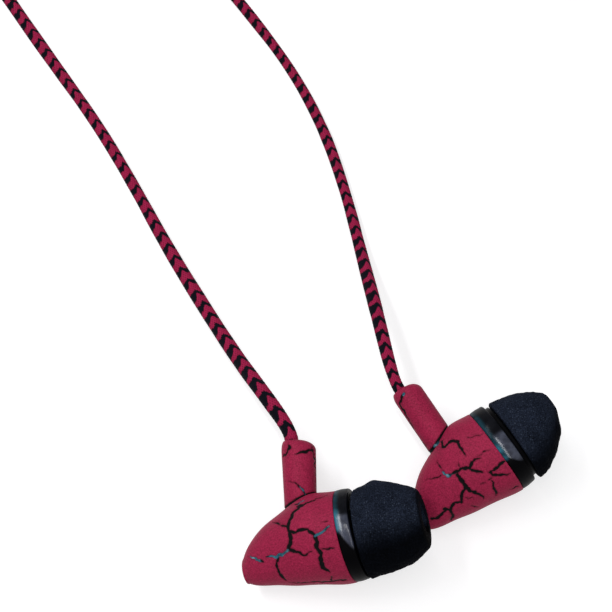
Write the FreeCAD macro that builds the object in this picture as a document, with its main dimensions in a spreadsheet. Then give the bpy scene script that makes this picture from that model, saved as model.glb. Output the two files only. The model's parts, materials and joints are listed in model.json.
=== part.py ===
import FreeCAD, Part
import math
import os
import re

import Sketcher

# Wired in-ear earphones lying on a table, in millimetres.
# Z is up and the table is at Z = 0. The two earbuds' common box is centred on the origin.

# Sizes: name, value, meaning.
# An earbud is drawn in its own axes first: X runs forward along the nozzle from the seam of
# its housing, Y runs towards its stem, and Z is the third direction.
SIZES = [
    ("rim_radius", 6.62, "housing at the seam"),
    ("shell_wall", 1.0, "wall of the rear shell"),
    ("brow_back", 3.5, "second section, behind the seam"),
    ("brow_shift", 0.5, "second section, towards the stem"),
    ("brow_radius", 6.45, "second section"),
    ("middle_back", 6.6, "third section, behind the seam"),
    ("middle_shift", 0.62, "third section, towards the stem"),
    ("middle_radius", 5.86, "third section"),
    ("flank_back", 10.3, "fourth section, behind the seam"),
    ("flank_shift", 0.2, "fourth section, towards the stem"),
    ("flank_radius", 4.68, "fourth section"),
    ("heel_back", 12.6, "fifth section, behind the seam"),
    ("heel_shift", -0.7, "fifth section, towards the stem"),
    ("heel_radius", 3.35, "fifth section"),
    ("tail_back", 14.1, "sixth section, behind the seam"),
    ("tail_shift", -1.5, "sixth section, towards the stem"),
    ("tail_radius", 1.95, "sixth section"),
    ("end_back", 14.6, "last section, behind the seam"),
    ("end_shift", -1.8, "last section, towards the stem"),
    ("end_radius", 1.3, "last section"),
    ("end_round", 0.45, "rounding of the rear end"),
    ("hollow_back", 12.2, "rear of the hollow, behind the seam"),
    ("hollow_end_radius", 1.6, "rear of the hollow"),
    ("spigot_depth", 1.6, "front cap inside the rear shell"),
    ("spigot_clearance", 0.05, "front cap in the rear shell, on the radius"),
    ("spigot_end_gap", 0.2, "room behind the spigot"),
    ("seam_groove", 0.2, "chamfer of the front cap at the seam"),
    ("collar_length", 2.4, "gloss collar in front of the seam"),
    ("collar_taper", 0.12, "collar at its front, less than at the seam"),
    ("collar_bevel", 0.5, "bevel of the collar's front edge"),
    ("neck_radius", 3.2, "foot of the nozzle"),
    ("neck_length", 1.1, "cone at the foot of the nozzle"),
    ("nozzle_radius", 2.4, "nozzle outside"),
    ("nozzle_bore", 1.6, "nozzle inside, radius"),
    ("nozzle_reach", 8.3, "end of the nozzle, ahead of the seam"),
    ("lip_radius", 2.6, "lip that holds the ear tip"),
    ("lip_length", 0.5, "flush part of the lip"),
    ("lip_chamfer", 0.3, "lead-in of the lip"),
    ("mesh_radius", 1.95, "wax mesh"),
    ("mesh_thickness", 0.2, "wax mesh"),
    ("mesh_clearance", 0.05, "round the wax mesh"),
    ("damper_radius", 1.55, "acoustic damper in the nozzle"),
    ("damper_length", 0.8, "acoustic damper in the nozzle"),
    ("damper_reach", 5.3, "front of the damper, ahead of the seam"),
    ("driver_radius", 4.3, "driver frame outside"),
    ("driver_clearance", 0.05, "driver frame in the front cap, on the radius"),
    ("driver_seat", 0.4, "front of the driver, ahead of the seam"),
    ("driver_depth", 2.4, "driver frame, front to rear"),
    ("chamber_radius", 3.75, "front chamber"),
    ("chamber_depth", 0.7, "straight part of the front chamber"),
    ("throat_length", 1.5, "cone from the chamber to the bore"),
    ("ledge_depth", 0.5, "ledge of the diaphragm behind the driver's front"),
    ("diaphragm_radius", 3.7, "diaphragm"),
    ("diaphragm_thickness", 0.12, "diaphragm"),
    ("dome_radius", 2.2, "foot of the diaphragm's dome"),
    ("dome_top_radius", 0.6, "flat top of the diaphragm's dome"),
    ("dome_rise", 0.36, "height of the diaphragm's dome"),
    ("coil_inner", 1.92, "voice coil, inner radius"),
    ("coil_outer", 2.2, "voice coil, outer radius"),
    ("coil_length", 1.1, "voice coil"),
    ("yoke_radius", 3.42, "magnet yoke"),
    ("yoke_clearance", 0.03, "yoke in the driver frame, on the radius"),
    ("yoke_wall", 0.95, "wall of the yoke"),
    ("yoke_floor", 0.4, "floor of the yoke"),
    ("yoke_front_gap", 0.4, "diaphragm ledge to the yoke's rim"),
    ("yoke_depth", 1.8, "yoke, front to rear"),
    ("magnet_radius", 1.7, "magnet"),
    ("plate_radius", 1.76, "top plate on the magnet"),
    ("plate_thickness", 0.45, "top plate"),
    ("board_width", 3.4, "terminal board, towards the stem"),
    ("board_height", 2.4, "terminal board, across"),
    ("board_thickness", 0.5, "terminal board"),
    ("stem_back", 5.4, "stem's centre line behind the seam"),
    ("stem_angle", 86.0, "stem's centre line to the nozzle, degrees"),
    ("stem_radius", 2.33, "stem"),
    ("stem_reach", 15.2, "end of the stem from the nozzle's centre line"),
    ("stem_root", 4.6, "start of the stem from the nozzle's centre line"),
    ("stem_round", 1.3, "rounding of the stem's end, as two bevels"),
    ("spigot_radius", 1.7, "stem's spigot in the rear shell"),
    ("spigot_fit", 0.05, "stem's spigot in the rear shell, on the radius"),
    ("spigot_overlap", 3.4, "spigot's length"),
    ("cord_radius", 1.0, "braided cord"),
    ("cord_clearance", 0.06, "cord in a socket, on the radius"),
    ("socket_depth", 3.0, "cord socket in the stem"),
    ("socket_offset", 0.75, "cord socket towards the rear"),
    ("wire_bore", 0.6, "hole for the wires, radius"),
    ("wire_offset", 0.4, "hole for the wires, towards the rear"),
    ("bore_overrun", 1.0, "how far a cutter runs past an open end"),
    ("hole_start", 2.3, "inner end of the stem's hole, from the nozzle's centre line"),
    ("knot_radius", 1.45, "knot in the cord's core inside the housing"),
    ("knot_length", 1.8, "knot in the cord's core inside the housing"),
    ("knot_neck", 0.87, "ends of the knot"),
    ("knot_taper", 0.45, "length of the knot's tapered ends"),
    ("core_rear", 3.7, "rear of the ear tip's core, ahead of the seam"),
    ("core_front", 9.6, "front of the ear tip's core, ahead of the seam"),
    ("core_radius", 3.3, "ear tip's core outside"),
    ("core_clearance", 0.05, "ear tip's core over the nozzle's lip, on the radius"),
    ("core_end_gap", 0.2, "nozzle's end to the step in the core"),
    ("sound_radius", 1.9, "sound hole of the ear tip"),
    ("glue_gap", 0.02, "foam to core"),
    ("foam_rear", 2.9, "rear of the foam, ahead of the seam"),
    ("foam_flare", 0.8, "length of the foam's rear chamfer"),
    ("foam_skirt", 0.25, "bevel of the foam's rear edge"),
    ("left_foam_front", 12.5, "front of the left foam, ahead of the seam"),
    ("left_foam_belt", 6.5, "front of the left foam's widest part, ahead of the seam"),
    ("left_foam_radius", 6.5, "left foam at its widest"),
    ("left_foam_rear", 5.8, "left foam at its rear edge"),
    ("left_foam_nose", 4.5, "left foam at its front edge"),
    ("left_foam_soft", 1.6, "rounding of the left foam's front edge, as two bevels"),
    ("right_foam_front", 10.9, "front of the right foam, ahead of the seam"),
    ("right_foam_belt", 5.6, "front of the right foam's widest part, ahead of the seam"),
    ("right_foam_radius", 6.15, "right foam at its widest"),
    ("right_foam_rear", 5.6, "right foam at its rear edge"),
    ("right_foam_nose", 4.7, "right foam at its front edge"),
    ("right_foam_soft", 2.7, "rounding of the right foam's front edge, as two bevels"),
    ("left_bud_x", -9.6, "left seam's centre"),
    ("left_bud_y", -8.6, "left seam's centre"),
    ("left_bud_z", 7.98, "left seam's centre"),
    ("left_bud_yaw", 9.6, "left nozzle, about Z, degrees"),
    ("left_bud_pitch", 15.0, "left nozzle above the table, degrees"),
    ("left_bud_roll", 4.0, "left stem above the table, degrees"),
    ("right_bud_x", 12.7, "right seam's centre"),
    ("right_bud_y", 4.36, "right seam's centre"),
    ("right_bud_z", 6.98, "right seam's centre"),
    ("right_bud_yaw", 34.4, "right nozzle, about Z, degrees"),
    ("right_bud_pitch", 11.0, "right nozzle above the table, degrees"),
    ("right_bud_roll", 6.0, "right stem above the table, degrees"),
    ("cord_sides", 6, "sides of a cord's section"),
    ("left_cord_lead", 7.5, "first run of the left cord, out of its stem"),
    ("right_cord_lead", 7.0, "first run of the right cord, out of its stem"),
    ("turn_gap", 0.45, "between a coil's turns"),
    ("tie_thickness", 0.5, "band round a coil"),
    ("tie_breadth", 3.0, "band round a coil, along the turns"),
    ("tie_clearance", 0.15, "turns to the band"),
    ("tie_slack", 0.55, "more room on a band's inner side, where the turns curve away"),
    ("left_coil_x", -57.0, "left coil's centre"),
    ("left_coil_y", 102.0, "left coil's centre"),
    ("left_coil_radius", 10.8, "first half turn of the left coil"),
    ("right_coil_x", -20.5, "right coil's centre"),
    ("right_coil_y", 102.0, "right coil's centre"),
    ("right_coil_radius", 12.0, "first half turn of the right coil"),
    ("main_coil_x", 21.3, "main coil's centre"),
    ("main_coil_y", 102.0, "main coil's centre"),
    ("main_coil_radius", 14.3, "first half turn of the main coil"),
    ("splitter_x", -20.0, "splitter's branch end"),
    ("splitter_y", 120.5, "splitter's centre line"),
    ("splitter_half_width", 3.5, "branch end of the splitter"),
    ("splitter_half_height", 2.2, "branch end of the splitter"),
    ("splitter_shoulder", 5.0, "parallel part of the splitter, from its branch end"),
    ("splitter_bevel", 0.6, "bevels of the splitter's ends"),
    ("splitter_tail_bevel", 0.3, "bevel of the splitter's main end, on the radius"),
    ("splitter_tail_radius", 1.9, "main end of the splitter"),
    ("splitter_length", 15.0, "splitter"),
    ("splitter_spread", 1.6, "branch sockets, off the splitter's centre line"),
    ("splitter_socket", 2.0, "depth of the splitter's sockets"),
    ("splitter_lead", 7.2, "first run of the main cord, out of the splitter"),
    ("plug_x", 18.0, "rear of the plug's grip"),
    ("plug_y", 130.0, "plug's axis"),
    ("grip_radius", 3.0, "plug's grip"),
    ("grip_length", 16.0, "plug's grip"),
    ("grip_bevel", 0.4, "bevels of the grip"),
    ("grip_cavity", 1.9, "room for the wires in the grip, radius"),
    ("relief_length", 9.0, "strain relief behind the grip"),
    ("relief_radius", 1.5, "rear of the strain relief"),
    ("relief_foot", 2.3, "strain relief at the grip"),
    ("relief_plug", 2.0, "strain relief inside the grip"),
    ("relief_fit", 0.03, "strain relief in the grip, on the radius"),
    ("relief_socket", 4.0, "cord socket in the strain relief"),
    ("relief_ribs", 3, "grooves of the strain relief"),
    ("relief_pitch", 2.2, "from groove to groove"),
    ("relief_start", 1.4, "grip's rear face to the first groove"),
    ("relief_groove", 0.8, "width of a groove"),
    ("relief_groove_depth", 0.35, "depth of a groove"),
    ("flange_radius", 2.6, "flange in front of the grip"),
    ("flange_thickness", 0.8, "flange in front of the grip"),
    ("contact_radius", 1.75, "plug's contacts"),
    ("contact_bore", 0.85, "inside the sleeve, ring and insulators, radius"),
    ("contact_root", 4.0, "sleeve inside the grip"),
    ("contact_root_radius", 1.45, "sleeve inside the grip and the flange"),
    ("contact_fit", 0.03, "sleeve in the grip and flange, on the radius"),
    ("sleeve_length", 6.6, "sleeve contact in front of the flange"),
    ("insulator_length", 0.7, "insulating rings"),
    ("ring_length", 2.2, "ring contact"),
    ("rod_radius", 0.8, "tip's rod through the other contacts"),
    ("tip_neck", 1.15, "narrow part behind the tip's ball, radius"),
    ("tip_neck_reach", 0.9, "narrow part, ahead of the front insulator"),
    ("tip_ball", 1.55, "tip's ball, radius"),
    ("tip_ball_reach", 1.6, "widest part of the ball, ahead of the front insulator"),
    ("tip_cone", 1.0, "front cone, radius"),
    ("tip_cone_reach", 3.0, "front cone, ahead of the front insulator"),
    ("tip_end", 0.35, "flat end of the tip, radius"),
    ("tip_length", 3.8, "tip, ahead of the front insulator"),
]
VALUES = {name: value for name, value, meaning in SIZES}

doc = FreeCAD.newDocument("Earphones")
sheet = doc.addObject("Spreadsheet::Sheet", "Sizes")
for row, (name, value, meaning) in enumerate(SIZES, start=1):
    sheet.set("A%d" % row, name)
    sheet.set("B%d" % row, str(value))
    sheet.set("C%d" % row, meaning)
    sheet.setAlias("B%d" % row, name)
doc.recompute()

SIDES = ("left", "right")
nodes = []


def formula(text):
    """The text as an expression, with each size's name pointing at its cell."""
    return re.sub(r"[a-z][a-z_]*", lambda word: ("Sizes." if word.group() in VALUES else "") + word.group(),
                  text)


def number(text):
    """The value of a formula."""
    return float(sheet.evalExpression(formula(text)))


def bind(item, place, text):
    item.setExpression(place, formula(text))


def node(item, label, placement):
    """Names a finished piece, puts it where it lies, and lists it."""
    item.Label = label
    item.Placement = placement
    nodes.append(item)
    return item


def plane(body, role):
    return [feature for feature in body.Origin.OriginFeatures if feature.Role == role][0]


def new_sketch(body, name, role):
    sketch = body.newObject("Sketcher::SketchObject", name)
    sketch.AttachmentSupport = [(plane(body, role), "")]
    sketch.MapMode = "FlatFace"
    return sketch


def draw_outline(sketch, corners):
    """A closed outline whose corners follow their formulas."""
    points = [FreeCAD.Vector(number(across), number(up), 0) for across, up in corners]
    count = len(points)
    for index in range(count):
        sketch.addGeometry(Part.LineSegment(points[index], points[(index + 1) % count]), False)
    for index in range(count):
        sketch.addConstraint(Sketcher.Constraint("Coincident", index, 2, (index + 1) % count, 1))
    for index, corner in enumerate(corners):
        for kind, text, axis in (("DistanceX", corner[0], -2), ("DistanceY", corner[1], -1)):
            if text == "0":
                sketch.addConstraint(Sketcher.Constraint("PointOnObject", index, 1, axis))
            else:
                datum = Sketcher.Constraint(kind, index, 1, number(text))
                place = sketch.addConstraint(datum)
                sketch.setExpression("Constraints[%d]" % place, formula(text))


def two_bevels(along, radius, rounding):
    """Three corners that turn an end's edge by 45 degrees twice, in place of a quarter round."""
    middle = "%s * (1 - cos(45))" % rounding
    return [
        ("%s - %s" % (along, rounding), radius),
        ("%s - %s" % (along, middle), "%s - %s" % (radius, middle)),
        (along, "%s - %s" % (radius, rounding)),
    ]


def turned(name, corners):
    """A body turned about X from (along, radius) corners."""
    body = doc.addObject("PartDesign::Body", name)
    sketch = new_sketch(body, name + "_outline", "XY_Plane")
    draw_outline(sketch, corners)
    turn = body.newObject("PartDesign::Revolution", name + "_turn")
    turn.Profile = sketch
    turn.ReferenceAxis = (sketch, ["H_Axis"])
    turn.Angle = 360
    doc.recompute()
    body.Tip = turn
    return body


def circles_at(shape, along, radius):
    """The names of the circular edges at one place along X."""
    found = []
    for index, edge in enumerate(shape.Edges, start=1):
        curve = edge.Curve
        if isinstance(curve, Part.Circle):
            near = abs(curve.Center.x - along) < 1e-4 and abs(curve.Radius - radius) < 1e-4
            if near:
                found.append("Edge%d" % index)
    return found


def rounded(body, base, name, edges, rounding):
    fillet = body.newObject("PartDesign::Fillet", name)
    fillet.Base = (base, edges)
    bind(fillet, "Radius", rounding)
    doc.recompute()
    return fillet


def lofted(name, sections):
    """A body through circles. Each section is (behind the seam, towards the stem, radius).

    The sketches are half a turn round, so that the seam of the surface is away from the stem.
    """
    body = doc.addObject("PartDesign::Body", name)
    half_turn = FreeCAD.Rotation(FreeCAD.Vector(0, 0, 1), 180)
    sketches = []
    for count, (back, shift, radius) in enumerate(sections):
        sketch = new_sketch(body, "%s_section_%d" % (name, count), "YZ_Plane")
        sketch.AttachmentOffset = FreeCAD.Placement(FreeCAD.Vector(0, 0, -number(back)), half_turn)
        sketch.setExpression("AttachmentOffset.Base.z", formula("-(%s)" % back))
        centre = FreeCAD.Vector(-number(shift), 0, 0)
        circle = Part.Circle(centre, FreeCAD.Vector(0, 0, 1), number(radius))
        sketch.addGeometry(circle, False)
        sketch.addConstraint(Sketcher.Constraint("PointOnObject", 0, 3, -1))
        if shift == "0":
            sketch.addConstraint(Sketcher.Constraint("PointOnObject", 0, 3, -2))
        else:
            place = sketch.addConstraint(Sketcher.Constraint("DistanceX", 0, 3, -number(shift)))
            sketch.setExpression("Constraints[%d]" % place, formula("-(%s)" % shift))
        place = sketch.addConstraint(Sketcher.Constraint("Radius", 0, number(radius)))
        sketch.setExpression("Constraints[%d]" % place, formula(radius))
        sketches.append(sketch)
    loft = body.newObject("PartDesign::AdditiveLoft", name + "_loft")
    loft.Profile = sketches[0]
    loft.Sections = sketches[1:]
    loft.Ruled = False
    doc.recompute()
    body.Tip = loft
    return body


def cut(name, base, tools):
    """The base less the tools."""
    tool = tools[0]
    if len(tools) > 1:
        tool = doc.addObject("Part::MultiFuse", name + "_cutters")
        tool.Shapes = tools
    result = doc.addObject("Part::Cut", name)
    result.Base = base
    result.Tool = tool
    return result


def placed(item, base, direction, roll=0.0):
    """Puts a piece that was drawn along X at a base point and along a direction."""
    turn = FreeCAD.Rotation(FreeCAD.Vector(1, 0, 0), direction)
    spin = FreeCAD.Rotation(FreeCAD.Vector(1, 0, 0), roll)
    item.Placement = FreeCAD.Placement(base, turn.multiply(spin))
    return item


def bud_placement(side):
    """Where an earbud lies: its seam's centre, and its turn from its own axes."""
    yaw = number(side + "_bud_yaw")
    pitch = number(side + "_bud_pitch")
    roll = number(side + "_bud_roll")
    base = [number("%s_bud_%s" % (side, axis)) for axis in "xyz"]
    return FreeCAD.Placement(FreeCAD.Vector(*base), FreeCAD.Rotation(yaw, -pitch, roll))


def stem_line():
    """The start and direction of the stem's centre line, in an earbud's own axes."""
    lean = math.radians(number("stem_angle"))
    start = FreeCAD.Vector(-number("stem_back"), 0, 0)
    return start, FreeCAD.Vector(math.cos(lean), math.sin(lean), 0)


def stem_offset(distance):
    """A shift square to the stem, towards the rear of the housing."""
    direction = stem_line()[1]
    return FreeCAD.Vector(-direction.y, direction.x, 0) * distance


# Housing

SHELL_SECTIONS = [("0", "0", "rim_radius")] + [
    (name + "_back", name + "_shift", name + "_radius")
    for name in ("brow", "middle", "flank", "heel", "tail", "end")
]
MOUTH = ("-(spigot_depth + spigot_end_gap)", "rim_radius - shell_wall")
HOLLOW_CORNERS = [("-hollow_back", "0"), ("-hollow_back", "hollow_end_radius")] + [
    ("-%s_back" % name, "{0}_radius - {0}_shift - shell_wall".format(name))
    for name in ("flank", "middle", "brow")
] + [
    (MOUTH[0], "brow_radius - brow_shift - shell_wall"),
    MOUTH,
    ("bore_overrun", MOUTH[1]),
    ("bore_overrun", "0"),
]


def shell_form(name):
    """The housing's outside, closed, with its rear end rounded."""
    body = lofted(name, SHELL_SECTIONS)
    loft = body.Tip
    edges = circles_at(loft.Shape, -number("end_back"), number("end_radius"))
    body.Tip = rounded(body, loft, name + "_round", edges, "end_round")
    return body


def stem_cylinder(name, start, end, radius, offset):
    """A round bar along the stem, from one distance from the nozzle's line to another."""
    bar = turned(name, [(start, "0"), (start, radius), (end, radius), (end, "0")])
    base, direction = stem_line()
    return placed(bar, base + stem_offset(number(offset)), direction)


def make_rear_shell(side, outside):
    """The painted shell: a lofted pebble, hollow, bored for the front cap and for the stem."""
    name = side + "_rear_shell"
    hollow = turned(name + "_hollow", HOLLOW_CORNERS)
    hole = stem_cylinder(name + "_stem_hole", "hole_start", "stem_root + spigot_overlap",
                         "spigot_radius + spigot_fit", "0")
    shell = cut(name, cut(name + "_bored", outside, [hollow]), [hole])
    return node(shell, name, bud_placement(side))


def make_stem(side, outside):
    """The painted tube: saddled on the shell, with a spigot through it and a socket for the cord."""
    name = side + "_stem"
    end = two_bevels("stem_reach", "stem_radius", "stem_round")
    root = [("stem_root", "0"), ("stem_root", "stem_radius")]
    tube = turned(name + "_tube", root + end + [("stem_reach", "0")])
    base, direction = stem_line()
    placed(tube, base, direction)
    saddle = cut(name + "_saddled", tube, [outside])
    spigot = stem_cylinder(name + "_spigot", "stem_root", "stem_root + spigot_overlap",
                           "spigot_radius", "0")
    whole = doc.addObject("Part::MultiFuse", name + "_whole")
    whole.Shapes = [saddle, spigot]
    socket = stem_cylinder(name + "_socket", "stem_reach - socket_depth", "stem_reach + bore_overrun",
                           "cord_radius + cord_clearance", "socket_offset")
    wires = stem_cylinder(name + "_wires", "stem_root - bore_overrun", "stem_reach",
                          "wire_bore", "wire_offset")
    return node(cut(name, whole, [socket, wires]), name, bud_placement(side))


def make_front_cap(side):
    """Collar, spigot and nozzle in one moulding, with the driver's pocket and the sound bore."""
    pocket = "driver_radius + driver_clearance"
    front = "collar_length"
    nose = "rim_radius - collar_taper"
    seat = "driver_seat"
    throat = "driver_seat + chamber_depth"
    corners = [
        ("-spigot_depth", pocket),
        ("-spigot_depth", "rim_radius - shell_wall - spigot_clearance"),
        ("0", "rim_radius - shell_wall - spigot_clearance"),
        ("0", "rim_radius - seam_groove"),
        ("seam_groove", "rim_radius"),
        (front + " - collar_bevel", nose),
        (front, nose + " - collar_bevel"),
        (front, "neck_radius"),
        (front + " + neck_length", "nozzle_radius"),
        ("nozzle_reach - lip_chamfer - lip_length", "nozzle_radius"),
        ("nozzle_reach - lip_chamfer - lip_length", "lip_radius"),
        ("nozzle_reach - lip_chamfer", "lip_radius"),
        ("nozzle_reach", "lip_radius - lip_chamfer"),
        ("nozzle_reach", "mesh_radius + mesh_clearance"),
        ("nozzle_reach - mesh_thickness", "mesh_radius + mesh_clearance"),
        ("nozzle_reach - mesh_thickness", "nozzle_bore"),
        (throat + " + throat_length", "nozzle_bore"),
        (throat, "chamber_radius"),
        (seat, "chamber_radius"),
        (seat, pocket),
    ]
    cap = turned(side + "_front_cap", corners)
    return node(cap, side + "_front_cap", bud_placement(side))


# Driver and nozzle pieces, each an outline of (along, radius) corners

LEDGE = "driver_seat - ledge_depth"
YOKE_FRONT = LEDGE + " - yoke_front_gap"
YOKE_REAR = YOKE_FRONT + " - yoke_depth"
YOKE_INNER = "yoke_radius - yoke_wall"
PLATE_REAR = YOKE_FRONT + " - plate_thickness"
FRAME_REAR = "driver_seat - driver_depth"
FRAME_BORE = "yoke_radius + yoke_clearance"
DOME_TOP = LEDGE + " + diaphragm_thickness + dome_rise"
INNER_PIECES = {
    "nozzle_mesh": [
        ("nozzle_reach - mesh_thickness", "0"),
        ("nozzle_reach - mesh_thickness", "mesh_radius"),
        ("nozzle_reach", "mesh_radius"),
        ("nozzle_reach", "0"),
    ],
    "nozzle_damper": [
        ("damper_reach - damper_length", "0"),
        ("damper_reach - damper_length", "damper_radius"),
        ("damper_reach", "damper_radius"),
        ("damper_reach", "0"),
    ],
    "driver_frame": [
        ("driver_seat", "diaphragm_radius + driver_clearance"),
        ("driver_seat", "driver_radius"),
        (FRAME_REAR, "driver_radius"),
        (FRAME_REAR, FRAME_BORE),
        (LEDGE, FRAME_BORE),
        (LEDGE, "diaphragm_radius + driver_clearance"),
    ],
    "diaphragm": [
        (LEDGE, "diaphragm_radius"),
        (LEDGE + " + diaphragm_thickness", "diaphragm_radius"),
        (LEDGE + " + diaphragm_thickness", "dome_radius"),
        (DOME_TOP, "dome_top_radius"),
        (DOME_TOP, "0"),
        (DOME_TOP + " - diaphragm_thickness", "0"),
        (DOME_TOP + " - diaphragm_thickness", "dome_top_radius"),
        (LEDGE, "dome_radius"),
    ],
    "voice_coil": [
        (LEDGE, "coil_inner"),
        (LEDGE, "coil_outer"),
        (LEDGE + " - coil_length", "coil_outer"),
        (LEDGE + " - coil_length", "coil_inner"),
    ],
    "magnet_yoke": [
        (YOKE_REAR, "0"),
        (YOKE_REAR, "yoke_radius"),
        (YOKE_FRONT, "yoke_radius"),
        (YOKE_FRONT, YOKE_INNER),
        (YOKE_REAR + " + yoke_floor", YOKE_INNER),
        (YOKE_REAR + " + yoke_floor", "0"),
    ],
    "driver_magnet": [
        (YOKE_REAR + " + yoke_floor", "0"),
        (YOKE_REAR + " + yoke_floor", "magnet_radius"),
        (PLATE_REAR, "magnet_radius"),
        (PLATE_REAR, "0"),
    ],
    "driver_top_plate": [
        (PLATE_REAR, "0"),
        (PLATE_REAR, "plate_radius"),
        (YOKE_FRONT, "plate_radius"),
        (YOKE_FRONT, "0"),
    ],
    "ear_tip_core": [
        ("core_rear", "lip_radius + core_clearance"),
        ("core_rear", "core_radius"),
        ("core_front", "core_radius"),
        ("core_front", "sound_radius"),
        ("nozzle_reach + core_end_gap", "sound_radius"),
        ("nozzle_reach + core_end_gap", "lip_radius + core_clearance"),
    ],
}


def make_inner_piece(side, piece):
    name = "%s_%s" % (side, piece)
    return node(turned(name, INNER_PIECES[piece]), name, bud_placement(side))


def make_ear_tip_foam(side):
    """The foam: a rear chamfer, a belt and a taper to a rounded nose, round the core."""
    front, belt, radius, rear, nose, soft = [
        "%s_foam_%s" % (side, part) for part in ("front", "belt", "radius", "rear", "nose", "soft")
    ]
    corners = [
        ("foam_rear", "core_radius + glue_gap"),
        ("foam_rear", rear + " - foam_skirt"),
        ("foam_rear + foam_skirt", rear),
        ("foam_rear + foam_flare", radius),
        (belt, radius),
    ] + two_bevels(front, nose, soft) + [
        (front, "sound_radius"),
        ("core_front + glue_gap", "sound_radius"),
        ("core_front + glue_gap", "core_radius + glue_gap"),
    ]
    foam = turned(side + "_ear_tip_foam", corners)
    return node(foam, side + "_ear_tip_foam", bud_placement(side))


def make_terminal_board(side):
    """The small board behind the yoke that the cord's wires are soldered to."""
    board = doc.addObject("Part::Box", side + "_terminal_board")
    bind(board, "Length", "board_thickness")
    bind(board, "Width", "board_width")
    bind(board, "Height", "board_height")
    corner = FreeCAD.Vector(number(YOKE_REAR + " - board_thickness"),
                            -number("board_width") / 2, -number("board_height") / 2)
    return node(board, board.Name, bud_placement(side) * FreeCAD.Placement(corner, FreeCAD.Rotation()))


def make_cord_knot(side):
    """The knot that stops the cord inside the housing, against the stem's spigot."""
    name = side + "_cord_knot"
    start = "stem_root - knot_length"
    corners = [(start, "0"), (start, "knot_neck"), (start + " + knot_taper", "knot_radius"),
               ("stem_root - knot_taper", "knot_radius"), ("stem_root", "knot_neck"), ("stem_root", "0")]
    knot = turned(name, corners)
    base, direction = stem_line()
    placed(knot, base, direction)
    return node(knot, name, bud_placement(side) * knot.Placement)


for side in SIDES:
    outside = shell_form(side + "_housing_outside")
    make_rear_shell(side, outside)
    make_stem(side, outside)
    make_front_cap(side)
    for piece in INNER_PIECES:
        make_inner_piece(side, piece)
    make_ear_tip_foam(side)
    make_terminal_board(side)
    make_cord_knot(side)


# Cords

# Layers of a coil: the half turns of each layer. Between two layers comes a half turn that climbs.
BRANCH_LAYERS = (1, 2)
MAIN_LAYERS = (5, 5, 5, 5)
COILS = {"left": ("clockwise", BRANCH_LAYERS), "right": ("clockwise", BRANCH_LAYERS),
         "main": ("anticlockwise", MAIN_LAYERS)}

# Points that each cord passes on its way, chosen along the photographed cord and then on the table.
LEFT_ROUTE = [
    (-23.3, 18.0, 6.4),
    (-28.9, 27.4, 1.6),
    (-35.4, 38.9, 1.0),
    (-41.3, 50.1, 1.0),
    (-47.4, 60.4, 1.0),
    (-54.6, 71.0, 1.0),
    (-61.7, 81.8, 1.0),
    (-67.8, 91.3, 1.65),
]
RIGHT_ROUTE = [
    (-3.8, 26.6, 6.4),
    (-5.5, 37.0, 1.5),
    (-8.1, 48.0, 1.0),
    (-11.9, 59.2, 1.0),
    (-17.2, 70.0, 1.0),
    (-25.0, 81.4, 1.0),
    (-32.5, 91.0, 1.65),
]
MAIN_ROUTE = [(5.4, 117.2, 1.9), (7.0, 111.0, 1.65)]
LEFT_TAIL_ROUTE = [(-67.8, 110.6, 4.1), (-65.6, 118.0, 2.4), (-57.4, 123.2, 1.0), (-46.5, 124.4, 1.0),
                   (-35.4, 123.4, 1.3), (-26.2, 122.1, 2.2)]
RIGHT_TAIL_ROUTE = [(-32.5, 110.2, 4.1), (-30.7, 116.2, 3.1), (-25.6, 118.9, 2.2)]
MAIN_TAIL_ROUTE = [(38.05, 110.6, 9.0), (38.4, 118.0, 6.9), (36.4, 125.0, 4.4), (31.6, 130.0, 3.0)]

X_AXIS = FreeCAD.Vector(1, 0, 0)
Y_AXIS = FreeCAD.Vector(0, 1, 0)
Z_AXIS = FreeCAD.Vector(0, 0, 1)


# The share of the shorter of two runs that the arc between them may take.
ARC_SHARE = 0.45


def arc_radius(before, corner, after):
    """The largest arc that the shorter of two runs leaves room for, and its half turn."""
    run_in = corner - before
    run_out = after - corner
    half = run_in.getAngle(run_out) / 2
    return ARC_SHARE * min(run_in.Length, run_out.Length) / math.tan(half), half


def route_edges(name, points):
    """Straight runs joined by tangent arcs through a list of points."""
    edges = []
    start = points[0]
    radii = []
    for before, corner, after in zip(points, points[1:], points[2:]):
        radius, half = arc_radius(before, corner, after)
        radii.append(radius)
        reach = radius * math.tan(half)
        run_in = (corner - before).normalize()
        run_out = (after - corner).normalize()
        arc_start = corner - run_in * reach
        arc_end = corner + run_out * reach
        inward = (run_out - run_in).normalize()
        middle = corner + inward * (radius / math.cos(half) - radius)
        edges.append(Part.LineSegment(start, arc_start).toShape())
        edges.append(Part.Arc(arc_start, middle, arc_end).toShape())
        start = arc_end
    edges.append(Part.LineSegment(start, points[-1]).toShape())
    print("%-18s radii %s" % (name, " ".join("%.1f" % radius for radius in radii)))
    return edges


def cord_section(start, direction):
    """A regular outline square to the cord, with its corners on the cord's surface."""
    sides = int(number("cord_sides"))
    across = direction.cross(Z_AXIS).normalize()
    upward = across.cross(direction).normalize()
    corners = []
    for index in range(sides):
        angle = 2 * math.pi * (index + 0.5) / sides + math.pi / 2
        outward = across * math.cos(angle) + upward * math.sin(angle)
        corners.append(start + outward * number("cord_radius"))
    return Part.makePolygon(corners + corners[:1])


def section_area():
    sides = number("cord_sides")
    return sides / 2 * number("cord_radius") ** 2 * math.sin(2 * math.pi / sides)


def make_tube(name, edges, direction):
    """A cord's solid: its section carried along its edges. The volume is compared with the length."""
    path = Part.Wire(edges)
    section = cord_section(edges[0].Vertexes[0].Point, direction)
    solid = path.makePipeShell([section], True, False)
    print("%-18s length %7.2f  volume / (section x length) %.4f"
          % (name, path.Length, solid.Volume / (section_area() * path.Length)))
    tube = doc.addObject("Part::Feature", name)
    tube.Shape = solid
    return node(tube, name, FreeCAD.Placement())


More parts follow.
